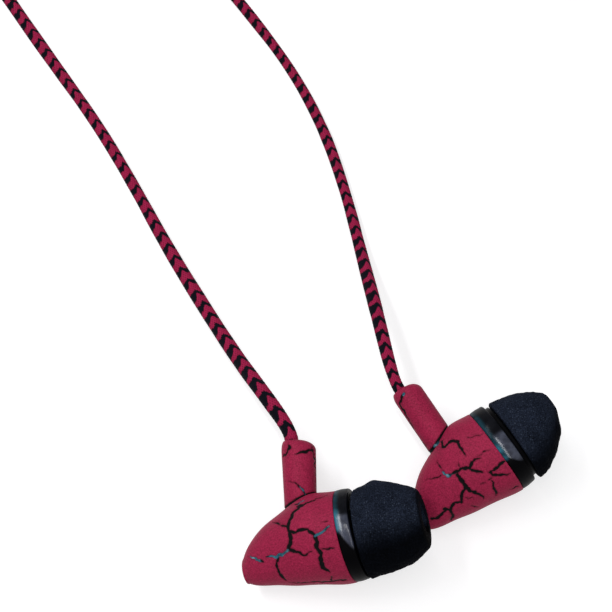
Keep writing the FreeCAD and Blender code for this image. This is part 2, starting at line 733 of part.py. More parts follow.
def make_stretch(name, points):
    vectors = [FreeCAD.Vector(*point) for point in points]
    return make_tube(name, route_edges(name, vectors), (vectors[1] - vectors[0]).normalize())


def coil_half_turns(layers, radius, pitch):
    """The half turns of a coil as (radius, layer, climbs).

    The radius changes by half the pitch for each half turn: inward in even layers, outward in odd
    ones. The half turn between two layers goes on at the same rate, climbs, and turns the spiral.
    """
    half_turns = []
    for layer, count in enumerate(layers):
        step = -pitch / 2 if layer % 2 == 0 else pitch / 2
        for _ in range(count):
            half_turns.append((radius, layer, False))
            radius += step
        if layer + 1 < len(layers):
            half_turns.append((radius, layer, True))
            radius -= step
    return half_turns


def coil_frame(name):
    """A coil's sense and centre: 1 turns anticlockwise, -1 clockwise, as seen from above."""
    sense = 1 if COILS[name][0] == "anticlockwise" else -1
    return sense, FreeCAD.Vector(number(name + "_coil_x"), number(name + "_coil_y"), 0)


def coil_pitch():
    return number("2 * cord_radius + turn_gap")


def coil_base():
    """The height of a coil's lowest turns: they lie on the band, which lies on the table."""
    return number("tie_thickness + tie_clearance + cord_radius")


def coil_path(name):
    """The edges of a coil and its two ends. It starts at its left, and both ends run on along Y."""
    sense, centre = coil_frame(name)
    pitch = coil_pitch()
    across = -number(name + "_coil_radius")
    side = -1
    height = coil_base()
    here = centre + FreeCAD.Vector(across, 0, height)
    lead = number("2 * cord_radius")
    start = here + Y_AXIS * (sense * lead)
    edges = [Part.LineSegment(start, here).toShape()]
    for radius, layer, climbs in coil_half_turns(COILS[name][1], -across, pitch):
        rise = pitch if climbs else 0.0
        across -= 2 * side * radius
        there = centre + FreeCAD.Vector(across, 0, height + rise)
        chord = there - here
        crown = (here + there) / 2 + Y_AXIS * (sense * side * chord.Length / 2)
        edges.append(Part.Arc(here, crown, there).toShape())
        here = there
        height += rise
        side = -side
    end = here + Y_AXIS * (sense * side * lead)
    edges.append(Part.LineSegment(here, end).toShape())
    return edges, start, end


def least_gap(edges):
    """The least gap between the turns of a coil, measured on points half a diameter apart.

    Points less than two diameters apart along the cord are its own neighbours and are left out.
    """
    step = number("cord_radius")
    path = Part.Wire(edges)
    points = path.discretize(Number=int(path.Length / step))
    skip = int(number("4 * cord_radius") / step)
    least = min((points[i] - points[j]).Length
                for i in range(len(points)) for j in range(i + skip, len(points)))
    return least - number("2 * cord_radius")


def make_coil(name):
    edges, start, end = coil_path(name)
    sense = coil_frame(name)[0]
    print("%-18s half turns %d  least gap %.3f" % (name + "_cord_coil", len(edges) - 2, least_gap(edges)))
    make_tube(name + "_cord_coil", edges, Y_AXIS * -sense)
    return start, end


def make_tie(name):
    """The band round a coil, on its side without climbing turns.

    The turns of every second layer lie a pitch further right there, so the band is half a pitch
    right of the coil's centre.
    """
    sense, centre = coil_frame(name)
    half_turns = coil_half_turns(COILS[name][1], number(name + "_coil_radius"), coil_pitch())
    stacked = [radius for radius, layer, climbs in half_turns[::2] if not climbs]
    room = number("cord_radius + tie_clearance")
    inner = min(stacked) - room - number("tie_slack")
    outer = max(stacked) + room
    low = number("tie_thickness")
    high = low + 2 * room + coil_pitch() * (len(COILS[name][1]) - 1)
    wall = number("tie_thickness")
    breadth = number("tie_breadth")
    boxes = []
    for margin, overrun in ((wall, 0.0), (0.0, number("bore_overrun"))):
        box = doc.addObject("Part::Box", "%s_coil_tie_%s" % (name, "inside" if overrun else "outside"))
        box.Length = breadth + 2 * overrun
        box.Width = outer - inner + 2 * margin
        box.Height = high - low + 2 * margin
        near = inner - margin if sense < 0 else -outer - margin
        left = coil_pitch() / 2 - breadth / 2 - overrun
        corner = FreeCAD.Vector(left, near, low - margin)
        box.Placement = FreeCAD.Placement(corner, FreeCAD.Rotation())
        boxes.append(box)
    band = cut(name + "_coil_tie", boxes[0], boxes[1:])
    return node(band, name + "_coil_tie", FreeCAD.Placement(centre, FreeCAD.Rotation()))


def socket_start(side):
    """The bottom of a stem's cord socket and its direction, as the earbud lies."""
    base, direction = stem_line()
    bottom = base + direction * number("stem_reach - socket_depth") + stem_offset(number("socket_offset"))
    lie = bud_placement(side)
    return lie.multVec(bottom), lie.Rotation.multVec(direction)


def make_branch(side, route, tail_route, socket):
    """One side's cord: out of the stem, along the table, its coil, and its tail to the splitter."""
    bottom, direction = socket_start(side)
    lead = bottom + direction * number(side + "_cord_lead")
    start, end = make_coil(side)
    make_stretch(side + "_cord", [bottom, lead] + route + [start])
    make_stretch(side + "_cord_tail", [end] + tail_route + [socket])
    make_tie(side)


# Splitter

def splitter_point(along, across):
    x = number("splitter_x") + number(along)
    y = number("splitter_y") + number(across)
    return FreeCAD.Vector(x, y, number("splitter_half_height"))


def make_splitter():
    """The moulded Y: a taper, cut flat above and below, with sockets for the three cords."""
    name = "y_splitter"
    cone = turned(name + "_cone", [
        ("0", "0"),
        ("0", "splitter_half_width - splitter_bevel"),
        ("splitter_bevel", "splitter_half_width"),
        ("splitter_shoulder", "splitter_half_width"),
        ("splitter_length - splitter_bevel", "splitter_tail_radius"),
        ("splitter_length", "splitter_tail_radius - splitter_tail_bevel"),
        ("splitter_length", "0"),
    ])
    slab = doc.addObject("Part::Box", name + "_slab")
    bind(slab, "Length", "splitter_length")
    bind(slab, "Width", "2 * splitter_half_width")
    bind(slab, "Height", "2 * splitter_half_height")
    bind(slab, "Placement.Base.y", "-splitter_half_width")
    bind(slab, "Placement.Base.z", "-splitter_half_height")
    body = doc.addObject("Part::Common", name + "_body")
    body.Base = cone
    body.Tool = slab
    sockets = []
    for place, across, along in (("left", "splitter_spread", "-bore_overrun"),
                                 ("right", "-splitter_spread", "-bore_overrun"),
                                 ("main", "0", "splitter_length - splitter_socket")):
        socket = doc.addObject("Part::Cylinder", "%s_%s_socket" % (name, place))
        bind(socket, "Radius", "cord_radius + cord_clearance")
        bind(socket, "Height", "splitter_socket + bore_overrun")
        socket.Placement = FreeCAD.Placement(FreeCAD.Vector(number(along), number(across), 0),
                                             FreeCAD.Rotation(Y_AXIS, 90))
        sockets.append(socket)
    lie = FreeCAD.Placement(splitter_point("0", "0"), FreeCAD.Rotation())
    return node(cut(name, body, sockets), name, lie)


# Plug, drawn along X from the rear face of its grip

FLANGE_FRONT = "grip_length + flange_thickness"
SLEEVE_FRONT = FLANGE_FRONT + " + sleeve_length"
RING_REAR = SLEEVE_FRONT + " + insulator_length"
RING_FRONT = RING_REAR + " + ring_length"
TIP_REAR = RING_FRONT + " + insulator_length"


def washer(rear, front, outer="contact_radius", inner="contact_bore"):
    return [(rear, inner), (rear, outer), (front, outer), (front, inner)]


def relief_corners():
    """A taper with square grooves, a socket for the cord at its rear and a foot inside the grip."""
    slope = "(relief_foot - relief_radius) / relief_length"
    corners = [("relief_plug", "wire_bore"), ("relief_plug", "relief_foot"), ("0", "relief_foot")]
    for index in range(int(number("relief_ribs"))):
        front = "-(relief_start + %d * relief_pitch)" % index
        rear = front + " - relief_groove"
        for along, depth in ((front, "0"), (front, "relief_groove_depth"),
                             (rear, "relief_groove_depth"), (rear, "0")):
            corners.append((along, "relief_foot + (%s) * (%s) - %s" % (along, slope, depth)))
    corners += [("-relief_length", "relief_radius"), ("-relief_length", "cord_radius + cord_clearance"),
                ("relief_socket - relief_length", "cord_radius + cord_clearance"),
                ("relief_socket - relief_length", "wire_bore")]
    return corners


def plug_outlines():
    grip = [
        ("0", "relief_foot + relief_fit"),
        ("0", "grip_radius - grip_bevel"),
        ("grip_bevel", "grip_radius"),
        ("grip_length - grip_bevel", "grip_radius"),
        ("grip_length", "grip_radius - grip_bevel"),
        ("grip_length", "contact_root_radius + contact_fit"),
        ("grip_length - contact_root", "contact_root_radius + contact_fit"),
        ("grip_length - contact_root", "grip_cavity"),
        ("relief_plug", "grip_cavity"),
        ("relief_plug", "relief_foot + relief_fit"),
    ]
    tip = [
        ("grip_length - contact_root", "0"),
        ("grip_length - contact_root", "rod_radius"),
        (TIP_REAR, "rod_radius"),
        (TIP_REAR, "contact_radius"),
        (TIP_REAR + " + tip_neck_reach", "tip_neck"),
        (TIP_REAR + " + tip_ball_reach", "tip_ball"),
        (TIP_REAR + " + tip_cone_reach", "tip_cone"),
        (TIP_REAR + " + tip_length", "tip_end"),
        (TIP_REAR + " + tip_length", "0"),
    ]
    sleeve = [
        ("grip_length - contact_root", "contact_bore"),
        ("grip_length - contact_root", "contact_root_radius"),
        (FLANGE_FRONT, "contact_root_radius"),
        (FLANGE_FRONT, "contact_radius"),
        (SLEEVE_FRONT, "contact_radius"),
        (SLEEVE_FRONT, "contact_bore"),
    ]
    return {
        "plug_relief": relief_corners(),
        "plug_grip": grip,
        "plug_flange": washer("grip_length", FLANGE_FRONT, "flange_radius",
                              "contact_root_radius + contact_fit"),
        "plug_sleeve": sleeve,
        "plug_rear_insulator": washer(SLEEVE_FRONT, RING_REAR),
        "plug_ring": washer(RING_REAR, RING_FRONT),
        "plug_front_insulator": washer(RING_FRONT, TIP_REAR),
        "plug_tip": tip,
    }


def make_plug():
    """The plug lies on its grip and points along -X."""
    base = FreeCAD.Vector(number("plug_x"), number("plug_y"), number("grip_radius"))
    lie = FreeCAD.Placement(base, FreeCAD.Rotation(Z_AXIS, 180))
    for name, corners in plug_outlines().items():
        node(turned(name, corners), name, lie)
    return base + X_AXIS * number("relief_length - relief_socket")


make_splitter()
plug_socket = make_plug()
make_branch("left", [FreeCAD.Vector(*point) for point in LEFT_ROUTE],
            [FreeCAD.Vector(*point) for point in LEFT_TAIL_ROUTE],
            splitter_point("splitter_socket", "splitter_spread"))
make_branch("right", [FreeCAD.Vector(*point) for point in RIGHT_ROUTE],
            [FreeCAD.Vector(*point) for point in RIGHT_TAIL_ROUTE],
            splitter_point("splitter_socket", "-splitter_spread"))
main_start = splitter_point("splitter_length - splitter_socket", "0")
main_lead = main_start + X_AXIS * number("splitter_lead")
coil_start, coil_end = make_coil("main")
make_stretch("main_cord", [main_start, main_lead] + [FreeCAD.Vector(*point) for point in MAIN_ROUTE]
             + [coil_start])
make_stretch("main_cord_tail", [coil_end] + [FreeCAD.Vector(*point) for point in MAIN_TAIL_ROUTE]
             + [plug_socket])
make_tie("main")


def write_parts():
    """Checks every object and writes one file for each piece."""
    doc.recompute()
    failed = [item.Name for item in doc.Objects if "Invalid" in item.State or "Error" in item.State]
    if failed:
        raise RuntimeError("failed objects: %s" % failed)
    for item in nodes:
        if item.Shape.isNull() or not item.Shape.isValid() or not item.Shape.Solids:
            raise RuntimeError("bad shape: " + item.Label)
    os.makedirs("parts", exist_ok=True)
    for item in nodes:
        item.Shape.exportStep("parts/%s.step" % item.Label)
        print("%-28s volume %9.3f" % (item.Label, item.Shape.Volume))


write_parts()
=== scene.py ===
"""Wired in-ear earphones: crackle-painted earbuds with foam tips, on braided cords with a splitter
and a plug."""
import json
import math

import bpy
import numpy as np
from bpy.props import FloatProperty, FloatVectorProperty, IntProperty, PointerProperty
from bpy.types import Operator, Panel, PropertyGroup
from mathutils import Matrix, Vector

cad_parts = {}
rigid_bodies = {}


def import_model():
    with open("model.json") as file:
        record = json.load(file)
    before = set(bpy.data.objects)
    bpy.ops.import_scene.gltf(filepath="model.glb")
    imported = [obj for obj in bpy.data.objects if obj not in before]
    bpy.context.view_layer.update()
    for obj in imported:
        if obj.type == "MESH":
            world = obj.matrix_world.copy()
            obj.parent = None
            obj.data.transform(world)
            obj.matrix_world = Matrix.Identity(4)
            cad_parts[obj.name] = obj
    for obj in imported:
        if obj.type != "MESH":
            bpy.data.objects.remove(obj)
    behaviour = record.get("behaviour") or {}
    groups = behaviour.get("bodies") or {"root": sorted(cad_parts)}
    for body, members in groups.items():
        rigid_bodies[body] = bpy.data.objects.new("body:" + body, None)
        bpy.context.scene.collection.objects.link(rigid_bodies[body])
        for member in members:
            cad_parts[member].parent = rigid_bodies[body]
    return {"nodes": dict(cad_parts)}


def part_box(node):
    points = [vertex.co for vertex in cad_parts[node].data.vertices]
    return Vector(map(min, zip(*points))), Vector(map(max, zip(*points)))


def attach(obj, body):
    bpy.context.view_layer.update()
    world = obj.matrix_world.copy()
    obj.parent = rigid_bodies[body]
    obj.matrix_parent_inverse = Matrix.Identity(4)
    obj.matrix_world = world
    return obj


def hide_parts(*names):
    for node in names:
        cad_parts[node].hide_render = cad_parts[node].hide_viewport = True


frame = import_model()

bl_info = {
    "name": "Wired earphones",
    "version": (1, 0, 0),
    "blender": (4, 5, 0),
    "location": "View3D > Sidebar > Earphones",
    "description": "Builds a pair of wired in-ear earphones around its CAD frame",
    "category": "Add Mesh",
}

MM = 0.001
FULL_TURN = 2 * math.pi
SIDES = ("left", "right")
SEED = 7


# Settings

def length(label, description, millimetres):
    """A setting that is a length."""
    return FloatProperty(name=label, description=description, default=millimetres * MM, unit="LENGTH")


def colour(label, description, value):
    """A setting that is a colour."""
    return FloatVectorProperty(name=label, description=description, subtype="COLOR", size=3, default=value)


class HousingSettings(PropertyGroup):
    """Sizes of the painted housings, their stems and their gloss front caps"""
    rim_radius: length("Rim radius", "Housing at its seam", 6.62)
    skin_step: length("Skin step", "Spacing of the points on the painted skin", 0.15)
    end_round: length("End rounding", "Rounding of the housing's rear end", 0.45)
    stem_reach: length("Stem reach", "Stem's end from the nozzle's centre line", 15.3)
    stem_round: length("Stem rounding", "Height of the stem's domed end", 1.5)
    socket_depth: length("Socket depth", "Cord socket in the stem", 3.0)
    joint_offset: length("Joint offset", "Dark line, outside the stem", 0.05)
    joint_width: length("Joint width", "Dark line between stem and housing", 0.8)
    crack_depth: length("Crack depth", "Step from the paint down to the black", 0.07)
    nozzle_radius: length("Nozzle radius", "Nozzle under the ear tip", 2.4)
    nozzle_reach: length("Nozzle reach", "Nozzle's end ahead of the seam", 8.3)


class EarTipSettings(PropertyGroup):
    """The foam of the two ear tips"""
    unevenness: length("Unevenness", "How far the foam's skin wanders", 0.04)
    skin_step: length("Skin step", "Spacing of the points on the foam", 0.22)


class CordSettings(PropertyGroup):
    """Sizes of the braided cords, their coils, the splitter and the plug"""
    radius: length("Cord radius", "Braided cord", 1.0)
    chevron: length("Chevron pitch", "From one chevron of the braid to the next", 2.05)
    yarn_relief: length("Yarn relief", "Height of the braid's yarns", 0.035)
    turn_gap: length("Turn gap", "Between a coil's turns", 0.45)
    tie_wall: length("Tie thickness", "Band round a coil", 0.5)
    coil_points: IntProperty(name="Coil points", description="Control points for each half turn of a coil",
                             default=12, min=6)
    branch_sides: IntProperty(name="Branch cord sides", description="Points round a branch cord",
                              default=20, min=8)
    main_sides: IntProperty(name="Main cord sides", description="Points round the main cord",
                            default=16, min=8)
    branch_step: length("Branch cord step", "Ring spacing on a branch cord", 0.25)
    main_step: length("Main cord step", "Ring spacing on the main cord", 0.4)


class FinishSettings(PropertyGroup):
    """Colours of the finishes"""
    crimson: colour("Crimson", "Crackle paint", (0.292, 0.0156, 0.0535))
    yarn: colour("Yarn", "Coloured yarn of the braid", (0.33, 0.0145, 0.062))
    foam: colour("Foam", "Ear tip foam", (0.0115, 0.0155, 0.0265))
    # The colour of the painted glint, a reflection painted into the cracks.
    crack_glint_colour: colour("Undercoat", "Glints in the cracks", (0.028, 0.12, 0.17))
    gold: colour("Gold", "Plug contacts", (0.83, 0.60, 0.26))


class StudioSettings(PropertyGroup):
    """Camera, lamps and floor"""
    lens: FloatProperty(name="Lens", description="Focal length of the camera, in millimetres", default=125.0)
    sensor: FloatProperty(name="Sensor", description="Width of the camera's sensor, in millimetres",
                          default=36.0)
    elevation: FloatProperty(name="Elevation", description="Camera above the table",
                             default=math.radians(68), subtype="ANGLE")
    distance: length("Distance", "Camera to the middle of its view", 321)
    aim_x: length("Aim X", "Middle of the view on the table", -14.47)
    aim_y: length("Aim Y", "Middle of the view on the table", 29.8)
    ambient: FloatProperty(name="Ambient", description="Light of the surroundings", default=0.28)


SETTINGS = {
    "earphone_housing": HousingSettings,
    "earphone_tips": EarTipSettings,
    "earphone_cords": CordSettings,
    "earphone_finish": FinishSettings,
    "earphone_studio": StudioSettings,
}


# Where the earbuds lie: the seam's centre, and yaw, pitch and roll in degrees.
# An earbud's own axes: X along its nozzle, Y towards its stem.
LIE = {
    "left": ((-9.6, -8.6, 7.98), (9.6, 15.0, 4.0)),
    "right": ((12.7, 4.36, 6.98), (34.4, 11.0, 6.0)),
}

# Stems: where the centre line meets the nozzle's, behind the seam; the angle between the two in
# degrees; the radius at the foot and at the top; how far the cord's socket lies off the centre line.
STEMS = {
    "left": {"back": 5.68 * MM, "angle": 81.2, "foot": 2.32 * MM, "top": 2.48 * MM, "socket": 1.0 * MM},
    "right": {"back": 5.66 * MM, "angle": 88.0, "foot": 2.22 * MM, "top": 2.22 * MM, "socket": 0.62 * MM},
}
# Up to where its foot's radius holds, and how far its skin starts inside the housing.
STEM_FOOT = 6.5 * MM
STEM_SINK = 0.3 * MM
# Between a cord and the socket it enters, in millimetres.
SOCKET_GAP = 0.06

# The paint's front edge and the gloss collar's, ahead of the seam.
PAINT_REACH = {"left": 0.8 * MM, "right": 0.05 * MM}
COLLAR_FRONT = {"left": 2.82 * MM, "right": 2.35 * MM}
COLLAR_STEP = 0.2 * MM
# Where a highlight is painted into the collar's colour and coat, in degrees round the nozzle from the
# stem's side: its start, where it begins to narrow, its end; and its rear edge as a share of the collar's
# length.
PAINTED_HIGHLIGHT_ZONES = {"left": (72, 92, 119, 0.06), "right": (76, 110, 126, 0.2)}

# Circles of the housing: distance behind the seam, shift towards the stem, radius.
HOUSING_SECTIONS = MM * np.array([
    (-1.0, -0.05, 6.58), (0.0, 0.0, 6.62), (3.3, 0.5, 6.48), (5.4, 0.42, 5.98), (7.8, 0.06, 5.2),
    (10.3, -0.2, 4.3), (12.6, -0.85, 3.2), (14.1, -1.5, 1.95), (14.6, -1.8, 1.3)])
# How far the rear end swells beyond the last circle.
CROWN_HEIGHT = 0.1 * MM


def turn_matrix(side):
    """Turns an earbud's own axes: about X by the roll, about Y by minus the pitch, about Z by the yaw."""
    yaw, pitch, roll = np.radians(LIE[side][1])
    result = np.eye(3)
    for axis, angle in ((2, yaw), (1, -pitch), (0, roll)):
        first, second = (axis + 1) % 3, (axis + 2) % 3
        turn = np.eye(3)
        turn[first, first] = turn[second, second] = math.cos(angle)
        turn[second, first] = math.sin(angle)
        turn[first, second] = -math.sin(angle)
        result = result @ turn
    return result


def laid(side, points):
    """Points in an earbud's own axes as it lies: turned, then moved to its seam's centre."""
    return np.asarray(points) @ turn_matrix(side).T + np.array(LIE[side][0]) * MM


# Number tools

def ramp(values, start, width):
    """0 before the start and 1 beyond the width, evenly in between. A negative width goes backwards."""
    return np.clip((values - start) / width, 0, 1)


def smoothed(share):
    """A share from 0 to 1 with flat ends: 3 s squared less 2 s cubed."""
    return share * share * (3 - 2 * share)


def round_angles(count):
    """Angles at even steps round a circle."""
    return np.linspace(0, FULL_TURN, count, endpoint=False)


def rounds_for(radius, step):
    """How many points go round a ring so that they lie about a step apart."""
    return int(np.ceil(FULL_TURN * radius / step / 4)) * 4


def superellipse(angle, power):
    """cos t and sin t, each to the power of 2 / p with its own sign."""
    return [np.sign(part) * np.abs(part) ** (2 / power) for part in (np.cos(angle), np.sin(angle))]


def way_along(points):
    """The distance along a line of each of its points."""
    return np.concatenate([[0], np.cumsum(np.linalg.norm(np.diff(points, axis=0), axis=1))])


def points_at(points, where):
    """The points of a line at distances along it."""
    way = way_along(points)
    return np.stack([np.interp(where, way, column) for column in np.transpose(points)], axis=-1)


def spline_through(knots, values, places):
    """A natural cubic spline: cubics whose slope and curvature run on through the knots and whose
    curvature is nought at both ends."""
    gaps = np.diff(knots)
    slopes = np.diff(values) / gaps
    count = len(knots)
    matrix = np.eye(count)
    rhs = np.zeros(count)
    inner = np.arange(1, count - 1)
    matrix[inner, inner - 1] = gaps[:-1]
    matrix[inner, inner] = 2 * (gaps[:-1] + gaps[1:])
    matrix[inner, inner + 1] = gaps[1:]
    rhs[inner] = 6 * np.diff(slopes)
    bends = np.linalg.solve(matrix, rhs)
    cell = np.clip(np.searchsorted(knots, places) - 1, 0, count - 2)
    gap = gaps[cell]
    before = knots[cell + 1] - places
    after = places - knots[cell]
    return ((bends[cell] * before ** 3 + bends[cell + 1] * after ** 3) / (6 * gap)
            + (values[cell] / gap - bends[cell] * gap / 6) * before
            + (values[cell + 1] / gap - bends[cell + 1] * gap / 6) * after)


def waves(points, spacing, seed, count=28):
    """A smooth random field: the mean of plane waves whose directions and phases are drawn at random."""
    draw = np.random.default_rng(seed)
    directions = draw.normal(size=(count, 3))
    directions /= np.linalg.norm(directions, axis=1)[:, None]
    scales = draw.uniform(0.6, 1.5, count)[:, None] * FULL_TURN / spacing
    phases = draw.uniform(0, FULL_TURN, count)
    return np.sin(points @ (directions * scales).T + phases).sum(-1) / math.sqrt(count / 2)


# Mesh tools

def grid_faces(rows, columns, rows_close):
    """Cells between neighbouring rows and columns. Columns close on themselves, rows where asked."""
    row = np.arange(rows if rows_close else rows - 1)[:, None]
    column = np.arange(columns)[None, :]
    next_row = (row + 1) % rows
    next_column = (column + 1) % columns
    corners = [row * columns + column, row * columns + next_column,
               next_row * columns + next_column, next_row * columns + column]
    return np.stack(np.broadcast_arrays(*corners), axis=-1).reshape(-1, 4)


def grid_uv(rows, columns, along, around):
    """The UV of each cell's corners: along by rows, around by columns, which ends at its last value."""
    row = np.arange(rows - 1)[:, None]
    column = np.arange(columns)[None, :]
    places = [(row, column), (row, column + 1), (row + 1, column + 1), (row + 1, column)]
    pairs = [np.stack(np.broadcast_arrays(along[r], around[r, c]), axis=-1) for r, c in places]
    return np.stack(pairs, axis=2).reshape(-1, 4, 2)


def signed_volume(points, faces):
    """The sum over triangles of the dot product of one corner with the cross product of the others."""
    triangles = np.concatenate([faces[:, [0, 1, 2]], faces[:, [0, 2, 3]]]) if faces.shape[1] == 4 else faces
    a, b, c = (points[triangles[:, i]] for i in range(3))
    return np.einsum("ij,ij->i", a, np.cross(b, c)).sum() / 6


def skin(name, points, rows_close=False):
    """A closed mesh from a grid of rings: points[row, column]. Unless the rows close on themselves,
    each end gets a point at the middle of its ring and a fan of triangles to it. Faces are turned
    outwards by the volume's sign."""
    rows, columns = points.shape[:2]
    vertices = points.reshape(-1, 3)
    quads = grid_faces(rows, columns, rows_close)
    fans = np.zeros((0, 3), int)
    if not rows_close:
        ring = np.arange(columns)
        following = (ring + 1) % columns
        first = np.stack([following, ring, np.full(columns, len(vertices))], axis=1)
        shift = (rows - 1) * columns
        last = np.stack([ring + shift, following + shift, np.full(columns, len(vertices) + 1)], axis=1)
        fans = np.concatenate([first, last])
        vertices = np.concatenate([vertices, points[0].mean(0)[None], points[-1].mean(0)[None]])
    if signed_volume(vertices, quads) + signed_volume(vertices, fans) < 0:
        quads = quads[:, ::-1]
        fans = fans[:, ::-1]
    mesh = bpy.data.meshes.new(name)
    mesh.from_pydata(vertices.tolist(), [], quads.tolist() + fans.tolist())
    mesh.polygons.foreach_set("use_smooth", np.ones(len(mesh.polygons), bool))
    mesh.update()
    return mesh


def new_piece(mesh, body, slot, *replaced):
    """Adds a mesh with its finish as a piece of the same name that rides on a body."""
    piece = bpy.data.objects.new(mesh.name, mesh)
    bpy.context.scene.collection.objects.link(piece)
    mesh.materials.append(finish(slot))
    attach(piece, body)
    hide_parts(*replaced)
    return piece


def add_attribute(mesh, name, values):
    """A number for each point, which a material reads by its name."""
    attribute = mesh.attributes.new(name, "FLOAT", "POINT")
    attribute.data.foreach_set("value", values.astype(np.float32))


def divided(start, end, step):
    """Points along a straight run, the first and the last left out."""
    count = max(1, int(np.ceil(np.linalg.norm(end - start) / step)))
    return start + (end - start) * np.arange(1, count)[:, None] / count


def rounded_outline(corners, step, closed=True):
    """Straight runs whose corners are arcs. A corner is (along, radius, rounding); its arc touches
    both runs at rounding / tan(half the angle between them) from the corner."""
    corners = np.array(corners, float)
    places = corners[:, :2]
    count = len(corners)
    stretches = []
    for index, (place, rounding) in enumerate(zip(places, corners[:, 2])):
        arc = place[None]
        if rounding > 0 and (closed or 0 < index < count - 1):
            back = places[index - 1] - place
            ahead = places[(index + 1) % count] - place
            back_length, ahead_length = np.linalg.norm(back), np.linalg.norm(ahead)
            back, ahead = back / back_length, ahead / ahead_length
            half = math.acos(np.clip(back @ ahead, -1, 1)) / 2
            reach = min(rounding / math.tan(half), 0.49 * back_length, 0.49 * ahead_length)
            radius = reach * math.tan(half)
            middle = (back + ahead) / np.linalg.norm(back + ahead) * radius / math.sin(half)
            turn = math.pi - 2 * half
            pieces = max(3, int(np.ceil(turn * radius / step)), int(np.ceil(turn / 0.3)))
            share = np.linspace(-turn / 2, turn / 2, pieces + 1)[:, None]
            inward = -middle / np.linalg.norm(middle) * radius
            sideways = np.array([-inward[1], inward[0]])
            if sideways @ (ahead - back) < 0:
                sideways = -sideways
            arc = place + middle + inward * np.cos(share) + sideways * np.sin(share)
        if stretches:
            stretches.append(divided(stretches[-1][-1], arc[0], step))
        stretches.append(arc)
    if closed:
        stretches.append(divided(stretches[-1][-1], stretches[0][0], step))
    return np.concatenate(stretches)


def turned_rings(outline, columns):
    """An outline of (along, radius) carried round the X axis: y = radius cos t, z = radius sin t."""
    angle = round_angles(columns)
    along, radius = outline[:, 0, None], outline[:, 1, None]
    return np.stack([along + 0 * angle, radius * np.cos(angle), radius * np.sin(angle)], axis=-1)


# Shader tools

class Value:
    """What a shader node gives. Its sums, differences and products are Math nodes."""

    def __init__(self, tree, socket):
        self.tree = tree
        self.socket = socket

    def beside(self, name):
        """Another output of the same node."""
        return Value(self.tree, self.socket.node.outputs[name])

    def calc(self, operation, *others):
        """A Math node's result."""
        return node(self.tree, "Math", dict(enumerate((self, *others))), operation=operation)

    def __add__(self, other):
        return self.calc("ADD", other)

    def __sub__(self, other):
        return self.calc("SUBTRACT", other)

    def __mul__(self, other):
        return self.calc("MULTIPLY", other)

    def rest(self):
        """One less the value."""
        return node(self.tree, "Math", {0: 1.0, 1: self}, operation="SUBTRACT")

    def remap(self, low, high, to_low=0.0, to_high=1.0, smooth=True):
        """The value taken from one range to another and kept inside it."""
        ranges = {"Value": self, "From Min": low, "From Max": high, "To Min": to_low, "To Max": to_high}
        return node(self.tree, "MapRange", ranges, "Result",
                    interpolation_type="SMOOTHSTEP" if smooth else "LINEAR")


def feed(socket, value):
    """Links a socket to the value that feeds it, or sets it to a number or a colour."""
    if isinstance(value, Value):
        value.tree.links.new(value.socket, socket)
    elif isinstance(value, (int, float)):
        socket.default_value = value
    else:
        socket.default_value = (*value, 1.0)


def node(tree, kind, inputs, output=0, **settings):
    """Adds a shader node with its settings and inputs, and gives one of its outputs."""
    item = tree.nodes.new("ShaderNode" + kind)
    for name, value in settings.items():
        setattr(item, name, value)
    for key, value in inputs.items():
        feed(item.inputs[key], value)
    return Value(tree, item.outputs[output])


def object_place(tree):
    """Where a point of the piece lies, in metres."""
    return node(tree, "TexCoord", {}, "Object")


def attribute_of(tree, name):
    """The number that a mesh holds under a name for each of its points."""
    return node(tree, "Attribute", {}, "Fac", attribute_name=name)


def noise(place, scale, detail=3.0, roughness=0.55):
    """A cloudy value from 0 to 1."""
    return node(place.tree, "TexNoise",
                {"Vector": place, "Scale": scale, "Detail": detail, "Roughness": roughness}, "Fac")


def blend(share, first, second):
    """Two colours mixed by a share from 0 to 1."""
    return node(share.tree, "Mix", {0: share, 6: first, 7: second}, 2, data_type="RGBA")


def scaled(tint, level):
    """A colour times a number."""
    return node(tint.tree, "VectorMath", {0: tint, "Scale": level}, operation="SCALE")


def bump(height, millimetres, strength):
    """A normal bent by a height."""
    inputs = {"Height": height, "Distance": millimetres * MM, "Strength": strength}
    return node(height.tree, "Bump", inputs, "Normal")


def shared(tree, name, build, inputs):
    """Places a node group in a tree. The first time, it is built from a function of its inputs."""
    group = bpy.data.node_groups.get(name)
    if group is None:
        group = bpy.data.node_groups.new(name, "ShaderNodeTree")
        kinds = ["NodeSocketFloat" if isinstance(value, (int, float)) else "NodeSocketColor"
                 for value in inputs.values()]
        for label, kind in zip(inputs, kinds):
            group.interface.new_socket(label, in_out="INPUT", socket_type=kind)
        group.interface.new_socket("Result", in_out="OUTPUT", socket_type=kinds[0])
        given = group.nodes.new("NodeGroupInput").outputs
        result = build(*(Value(group, given[label]) for label in inputs))
        feed(group.nodes.new("NodeGroupOutput").inputs["Result"], result)
    return node(tree, "Group", inputs, node_tree=group)


def grain(tree, scale, coarse):
    """Fine grain, a value round 0.5: clouds eight times as wide by the coarse share, fine noise for
    the rest."""
    def build(scale, coarse):
        """The group's value from its inputs."""
        place = object_place(scale.tree)
        return noise(place, scale * 0.12, 2.0, 0.5) * coarse + noise(place, scale, 4.0, 0.6) * coarse.rest()
    return shared(tree, "Fine grain", build, {"Scale": scale, "Coarse share": coarse})


def mottle(tree, tint, scale, drift, flecks):
    """A colour that drifts lighter and darker over the surface, with fine flecks."""
    def build(tint, scale, drift, flecks):
        """The group's colour from its inputs."""
        place = object_place(scale.tree)
        clouds = (noise(place, scale) - 0.5) * drift
        specks = (noise(place, scale * 14.0, 2.0) - 0.5) * flecks
        return scaled(tint, (clouds + specks) * 2.0 + 1.0)
    inputs = {"Color": tint, "Scale": scale, "Drift": drift, "Flecks": flecks}
    return shared(tree, "Mottle", build, inputs)


def new_material(name):
    """The node tree of a new material, which holds only its surface shader."""
    material = bpy.data.materials.new("finish_" + name)
    material.use_nodes = True
    return material.node_tree


